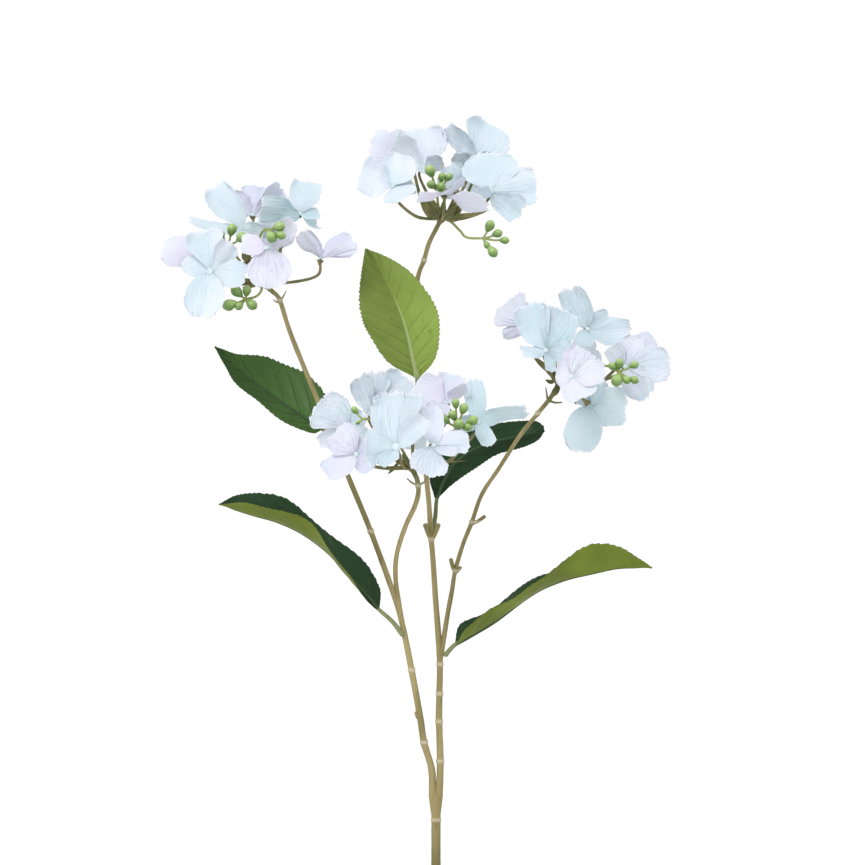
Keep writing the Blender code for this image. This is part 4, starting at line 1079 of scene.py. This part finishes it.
STALK_PLASTIC = pedicel_material("pedicel plastic", PEDICEL_GREEN, PEDICEL_TAN)
TWIG_PLASTIC = pedicel_material("bud stalk plastic", BUD_STALK_GREEN, BUD_STALK_PALE)
BUD_PLASTIC = bud_material()
for head_name, head in HEADS.items():
    make_pedicels(head_name, head)

# ==== The florets =================================================================================
# Petals of thin stiffened cloth round a small round eye. The cloth is pressed into fine pleats that fan out
# from the eye, its edge is cut in small uneven teeth and curls, and it is dyed pale blue, here and there
# with lilac or aqua.

PETAL_SPREAD = math.radians(60)  # the widest that a petal opens at the eye, to one side
EDGE_SHARE = 0.60               # how much of the gap to the next petal it may take
PETAL_TURN = 0.45               # how far along it has turned to its own slant
PETAL_CLOTH = 0.00022
PETAL_LIFT = 0.0003             # how far every other petal stands in front of its neighbours
PETAL_ACROSS = 46
PETAL_ALONG = 26
EYE_RADIUS = 0.0014
LARGE_EYES = {"centre_1": 1.8, "left_1": 1.4}
PLEATS = 9
PLEAT_DEPTH = 0.00011
# A petal's outline, as shares of its length or width: its width at the eye and how much it gains, where it
# is widest, where its tip starts, and how deep its edge is cut.
ROOT_WIDTH = 0.30
WIDTH_GAIN = 0.74
WIDEST_AT = 0.58
TIP_AT = 0.66
EDGE_BAY = 0.10
EDGE_SOFT = 0.05
EDGE_TEETH = (17, 0.07)         # how many across, and how deep
EDGE_FRAY = 0.07
# Each petal draws its own shape between these limits.
CUPPING = (0.03, 0.12)
SAG = (0.04, 0.09)
CURL = (-0.16, 0.07)
RUFFLE = (0.018, 0.042)
RUFFLE_WAVES = (2.2, 3.6)
NOTCH = (-0.02, 0.05)
CREASE_PLACES = (-0.5, 0.5)
CREASES = (-0.1, 0, 0.12, 0.2)
SQUARENESS = (0.68, 0.96)
VEINING = (0.1, 0.3, 0.9)
CREASE_EDGE = 0.25
PETAL_PALE = (0.74, 0.79, 0.87)
PETAL_BLUE = (0.61, 0.73, 0.80)
PETAL_AQUA = (0.48, 0.66, 0.70)
PETAL_LILAC = (0.74, 0.70, 0.85)
PETAL_VEIN = (0.30, 0.40, 0.52)
PETAL_RIM = (0.88, 0.88, 0.95)
PETAL_CLAW = (0.50, 0.66, 0.66)
VEIN_LINES = 36                 # lines across a petal
EYE_BLUE = (0.62, 0.74, 0.82)
EYE_DEEP = (0.54, 0.68, 0.75)
EYE_PALE = (0.66, 0.75, 0.76)
# How lilac and how aqua each floret is dyed, where it isn't plain.
LILAC = {
    "top_5": 0.9, "top_7": 0.8, "top_1": 0.15, "left_3": 0.7, "left_5": 0.9, "left_6": 0.7, "left_7": 0.8,
    "right_2": 0.7, "right_5": 0.9, "right_7": 0.6, "right_4": 0.35, "centre_4": 0.8, "centre_5": 0.8,
    "centre_6": 0.3,
}
AQUA = {
    "top_4": 0.35, "top_3": 0.3, "left_4": 0.8, "left_2": 0.35, "left_1": 0.15, "right_1": 0.45,
    "right_3": 0.4, "right_6": 0.45, "centre_1": 0.3, "centre_7": 0.7,
}


def petal_material():
    """Cloth dyed with tints that the petals carry as values, deepest near the eye, and veined in some."""
    material, tree, shader = new_material("petal cloth", PETAL_PALE, 0.72)
    shader.inputs["Sheen Weight"].default_value = 0.1
    place = on_cloth(tree)
    across, along = place["X"], place["Y"]
    patches, specks = mottled(tree, 48)
    lilac, aqua, veined = [stored(tree, name) for name in ("lilac", "aqua", "veined")]
    fading = one_less(tree, ramp(tree, along, 0.25, 1.6))
    colour = blend_colours(tree, ramp(tree, patches, 0.34, 0.68), PETAL_PALE, PETAL_BLUE)
    colour = blend_colours(tree, times(tree, aqua, fading), colour, PETAL_AQUA)
    dyed = times(tree, lilac, times(tree, ramp(tree, patches, 0.2, 0.5), fading))
    colour = blend_colours(tree, dyed, colour, PETAL_LILAC)
    drawn_out = {"X": times(tree, across, VEIN_LINES), "Y": times(tree, along, 1.6)}
    drawn_out = add_node(tree, "ShaderNodeCombineXYZ", drawn_out).outputs[0]
    lines = {"Vector": drawn_out, "Scale": 1.0, "Detail": 2}
    lines = add_node(tree, "ShaderNodeTexNoise", lines).outputs["Fac"]
    middle = ramp(tree, along, 0.05, 0.25)
    middle = times(tree, middle, one_less(tree, ramp(tree, along, 0.45, 0.95)))
    veins = times(tree, ramp(tree, lines, 0.54, 0.64), times(tree, middle, veined))
    colour = blend_colours(tree, times(tree, veins, 0.5), colour, PETAL_VEIN)
    half = maths(tree, "ABSOLUTE", maths(tree, "MULTIPLY_ADD", across, 2, -1))
    outer = maths(tree, "MAXIMUM", along, times(tree, half, ramp(tree, along, 0.1, 0.35)))
    rim = ramp(tree, maths(tree, "ADD", outer, times(tree, specks, 0.04)), 0.96, 1.03)
    colour = blend_colours(tree, times(tree, rim, 0.7), colour, PETAL_RIM)
    claw = one_less(tree, ramp(tree, along, 0.02, 0.2))
    colour = blend_colours(tree, times(tree, claw, 0.3), colour, PETAL_CLAW)
    tree.links.new(colour, shader.inputs["Base Color"])
    pressed = times(tree, lines, maths(tree, "MULTIPLY_ADD", veined, 2.0, 0.35))
    bump(tree, maths(tree, "ADD", pressed, times(tree, specks, 0.25)), 0.0004, shader, 0.9)
    return material


def eye_material():
    """The small hard bead at a floret's middle."""
    material, tree, shader = new_material("floret eye", EYE_BLUE, 0.6)
    patches, _ = mottled(tree, 300)
    colour = blend_colours(tree, ramp(tree, patches, 0.35, 0.65), EYE_DEEP, EYE_PALE)
    tree.links.new(colour, shader.inputs["Base Color"])
    return material


def petal(eye, tip, side, facing, limits, chance):
    """One petal: bellied, cupped and pleated, and waved, toothed and curled at its edge.

    It turns from the ring round the eye to its own slant. The limits are its angles at the eye.
    """
    length = tip.length
    forward = tip / length
    level = facing.cross(forward).normalized()
    slant = side - forward * side.dot(forward)
    if forward.cross(slant).dot(facing) < 0:
        slant.negate()
    half_width = slant.length
    slant.normalize()
    seed = chance.uniform(0, 90)
    cupping = chance.uniform(*CUPPING)
    sag = chance.uniform(*SAG)
    curl = chance.uniform(*CURL)
    ruffle = chance.uniform(*RUFFLE)
    waves = chance.uniform(*RUFFLE_WAVES)
    phase = chance.uniform(0, 6)
    notch = chance.uniform(*NOTCH)
    crease_at = chance.uniform(*CREASE_PLACES)
    crease = chance.choice(CREASES)
    squareness = chance.uniform(*SQUARENESS)

    def place(u, v):
        part = 1 - 2 * u
        turned = min(v / PETAL_TURN, 1)
        across = (level * (1 - turned) + slant * turned).normalized()
        out = forward.cross(across)
        wide = ROOT_WIDTH + WIDTH_GAIN * math.sin(math.pi / 2 * min(v / WIDEST_AT, 1))
        wide *= 1 - (1 - squareness) * max((v - TIP_AT) / (1 - TIP_AT), 0) ** 2
        fray = noise.noise(Vector((v * 3, seed, part))) + noise.noise(Vector((v * 24, seed, part)))
        wide *= 1 + EDGE_FRAY * fray
        width = min(half_width * wide, length * v * math.tan(limits[0 if part < 0 else 1]))
        bay = 1 - EDGE_BAY * abs(part) ** 3 - notch * math.exp(-(part / 0.25) ** 2) * v**3
        soft = noise.noise(Vector((part * 2.3, seed, 0))) * EDGE_SOFT
        teeth = noise.noise(Vector((part * EDGE_TEETH[0], seed, 5))) * EDGE_TEETH[1]
        reach = length * v * (bay + soft * v**3 + teeth * v**9)
        rise = cupping * part**2 * v - sag * 4 * v * (1 - v)
        rise += curl * v**5 * (0.6 + 0.4 * math.sin(part * 2 + phase))
        rise += ruffle * math.sin(part * waves * math.pi / 2 + phase) * v**2.2
        rise += 0.03 * noise.noise(Vector((part * 1.4, v * 2, seed))) * v
        rise += crease * v * max(abs(part - crease_at) - CREASE_EDGE, 0)
        pressed = math.sin(math.pi * min(v * 1.15, 1)) ** 0.6
        pleat = PLEAT_DEPTH * math.sin(part * PLEATS * math.pi + seed) * pressed
        return eye + forward * reach + across * width * part + out * (rise * length + pleat)

    return shaped_grid("petal", PETAL_ACROSS, PETAL_ALONG, place)


def make_floret(label, node, hub, eye, petals):
    step = offset(*eye)
    facing, ring = facing_of(step, steps_of(petals))
    centre = hub + step
    chance = random.Random(label)
    right = facing.orthogonal()
    other = facing.cross(right)
    turns = [math.atan2(tip.dot(other), tip.dot(right)) for tip, _ in ring]
    gaps = [(b - a) % (2 * math.pi) for a, b in zip(turns, turns[1:] + turns[:1])]
    shapes = []
    for k, (tip, side) in enumerate(ring):
        limits = [min(PETAL_SPREAD, gap * EDGE_SHARE) for gap in (gaps[k - 1], gaps[k])]
        lift = facing * (PETAL_LIFT if k % 2 else 0)
        shape = petal(centre + lift, tip, side, facing, limits, chance)
        tints = {
            "lilac": LILAC.get(label, 0.0) * chance.uniform(0.7, 1.1) + chance.uniform(0, 0.12),
            "aqua": AQUA.get(label, 0.0) * chance.uniform(0.6, 1.2) + chance.uniform(0, 0.12),
            "veined": chance.choice(VEINING),
        }
        for tint, amount in tints.items():
            mark(shape, tint, lambda point, amount=amount: amount)
        shapes.append(shape)
    cloth_piece = join(f"floret_{label}", shapes)
    for material in (PETAL_STUFF, EYE_STUFF):
        cloth_piece.data.materials.append(material)
    thicken(cloth_piece, "cloth", PETAL_CLOTH, side=-1)
    bead_radius = EYE_RADIUS * LARGE_EYES.get(label, 1)
    eye_ball = ball("eye", centre + facing * bead_radius * 0.1, bead_radius, 0.5, facing)
    for polygon in eye_ball.data.polygons:
        polygon.material_index = 1
    for material in (PETAL_STUFF, EYE_STUFF):
        eye_ball.data.materials.append(material)
    floret = join(f"floret_{label}", [cloth_piece, eye_ball])
    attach(floret, "root")
    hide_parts(node)


PETAL_STUFF = petal_material()
EYE_STUFF = eye_material()
for head_name, head in HEADS.items():
    head_hub = spray_point(*head["hub"])
    for number, (eye, petals) in enumerate(head["florets"], 1):
        make_floret(f"{head_name}_{number}", f"{head_name}_floret_{number}", head_hub, eye, petals)

# ==== The floor, the light and the camera =========================================================
# A wide pale floor, an even white sky and one soft lamp high on the left. The camera looks level from the
# front, at the flowers.

VIEW_HEIGHT = 0.390
VIEW_SIDE = -0.002
VIEW_DISTANCE = 2.2
VIEW_WIDTH = 0.5
SENSOR_WIDTH = 36
FLOOR_SIZE = 60
FLOOR_DROP = 0.0002
FLOOR_WHITE = (0.97, 0.97, 0.97)
SKY_STRENGTH = 0.87
SKY_SEEN = 0.17                 # how much brighter the sky looks than it lights
LAMP_STRENGTH = 1.2
LAMP_WIDTH = math.radians(25)
LAMP_TURN = (math.radians(42), math.radians(-24), 0)

deselect_all()
bpy.ops.mesh.primitive_plane_add(size=FLOOR_SIZE, location=(0, 0, -FLOOR_DROP))
floor = bpy.context.object
floor.name = "floor"
floor_material, _, _ = new_material("pale floor", FLOOR_WHITE, 0.9)
floor.data.materials.append(floor_material)

world = bpy.data.worlds.new("white studio")
bpy.context.scene.world = world
world.use_nodes = True
sky = world.node_tree.nodes["Background"]
seen = world.node_tree.nodes.new("ShaderNodeLightPath").outputs["Is Camera Ray"]
strength = maths(world.node_tree, "MULTIPLY_ADD", seen, SKY_SEEN, SKY_STRENGTH)
world.node_tree.links.new(strength, sky.inputs["Strength"])
sky.inputs["Color"].default_value = (1, 1, 1, 1)

bpy.ops.object.light_add(type="SUN", rotation=LAMP_TURN)
lamp = bpy.context.object
lamp.data.energy = LAMP_STRENGTH
lamp.data.angle = LAMP_WIDTH

bpy.ops.object.camera_add(
    location=(VIEW_SIDE, -VIEW_DISTANCE, VIEW_HEIGHT), rotation=(math.radians(90), 0, 0)
)
camera = bpy.context.object
camera.data.sensor_width = SENSOR_WIDTH
camera.data.lens = SENSOR_WIDTH * VIEW_DISTANCE / VIEW_WIDTH
bpy.context.scene.camera = camera
bpy.context.scene.view_settings.view_transform = "Standard"
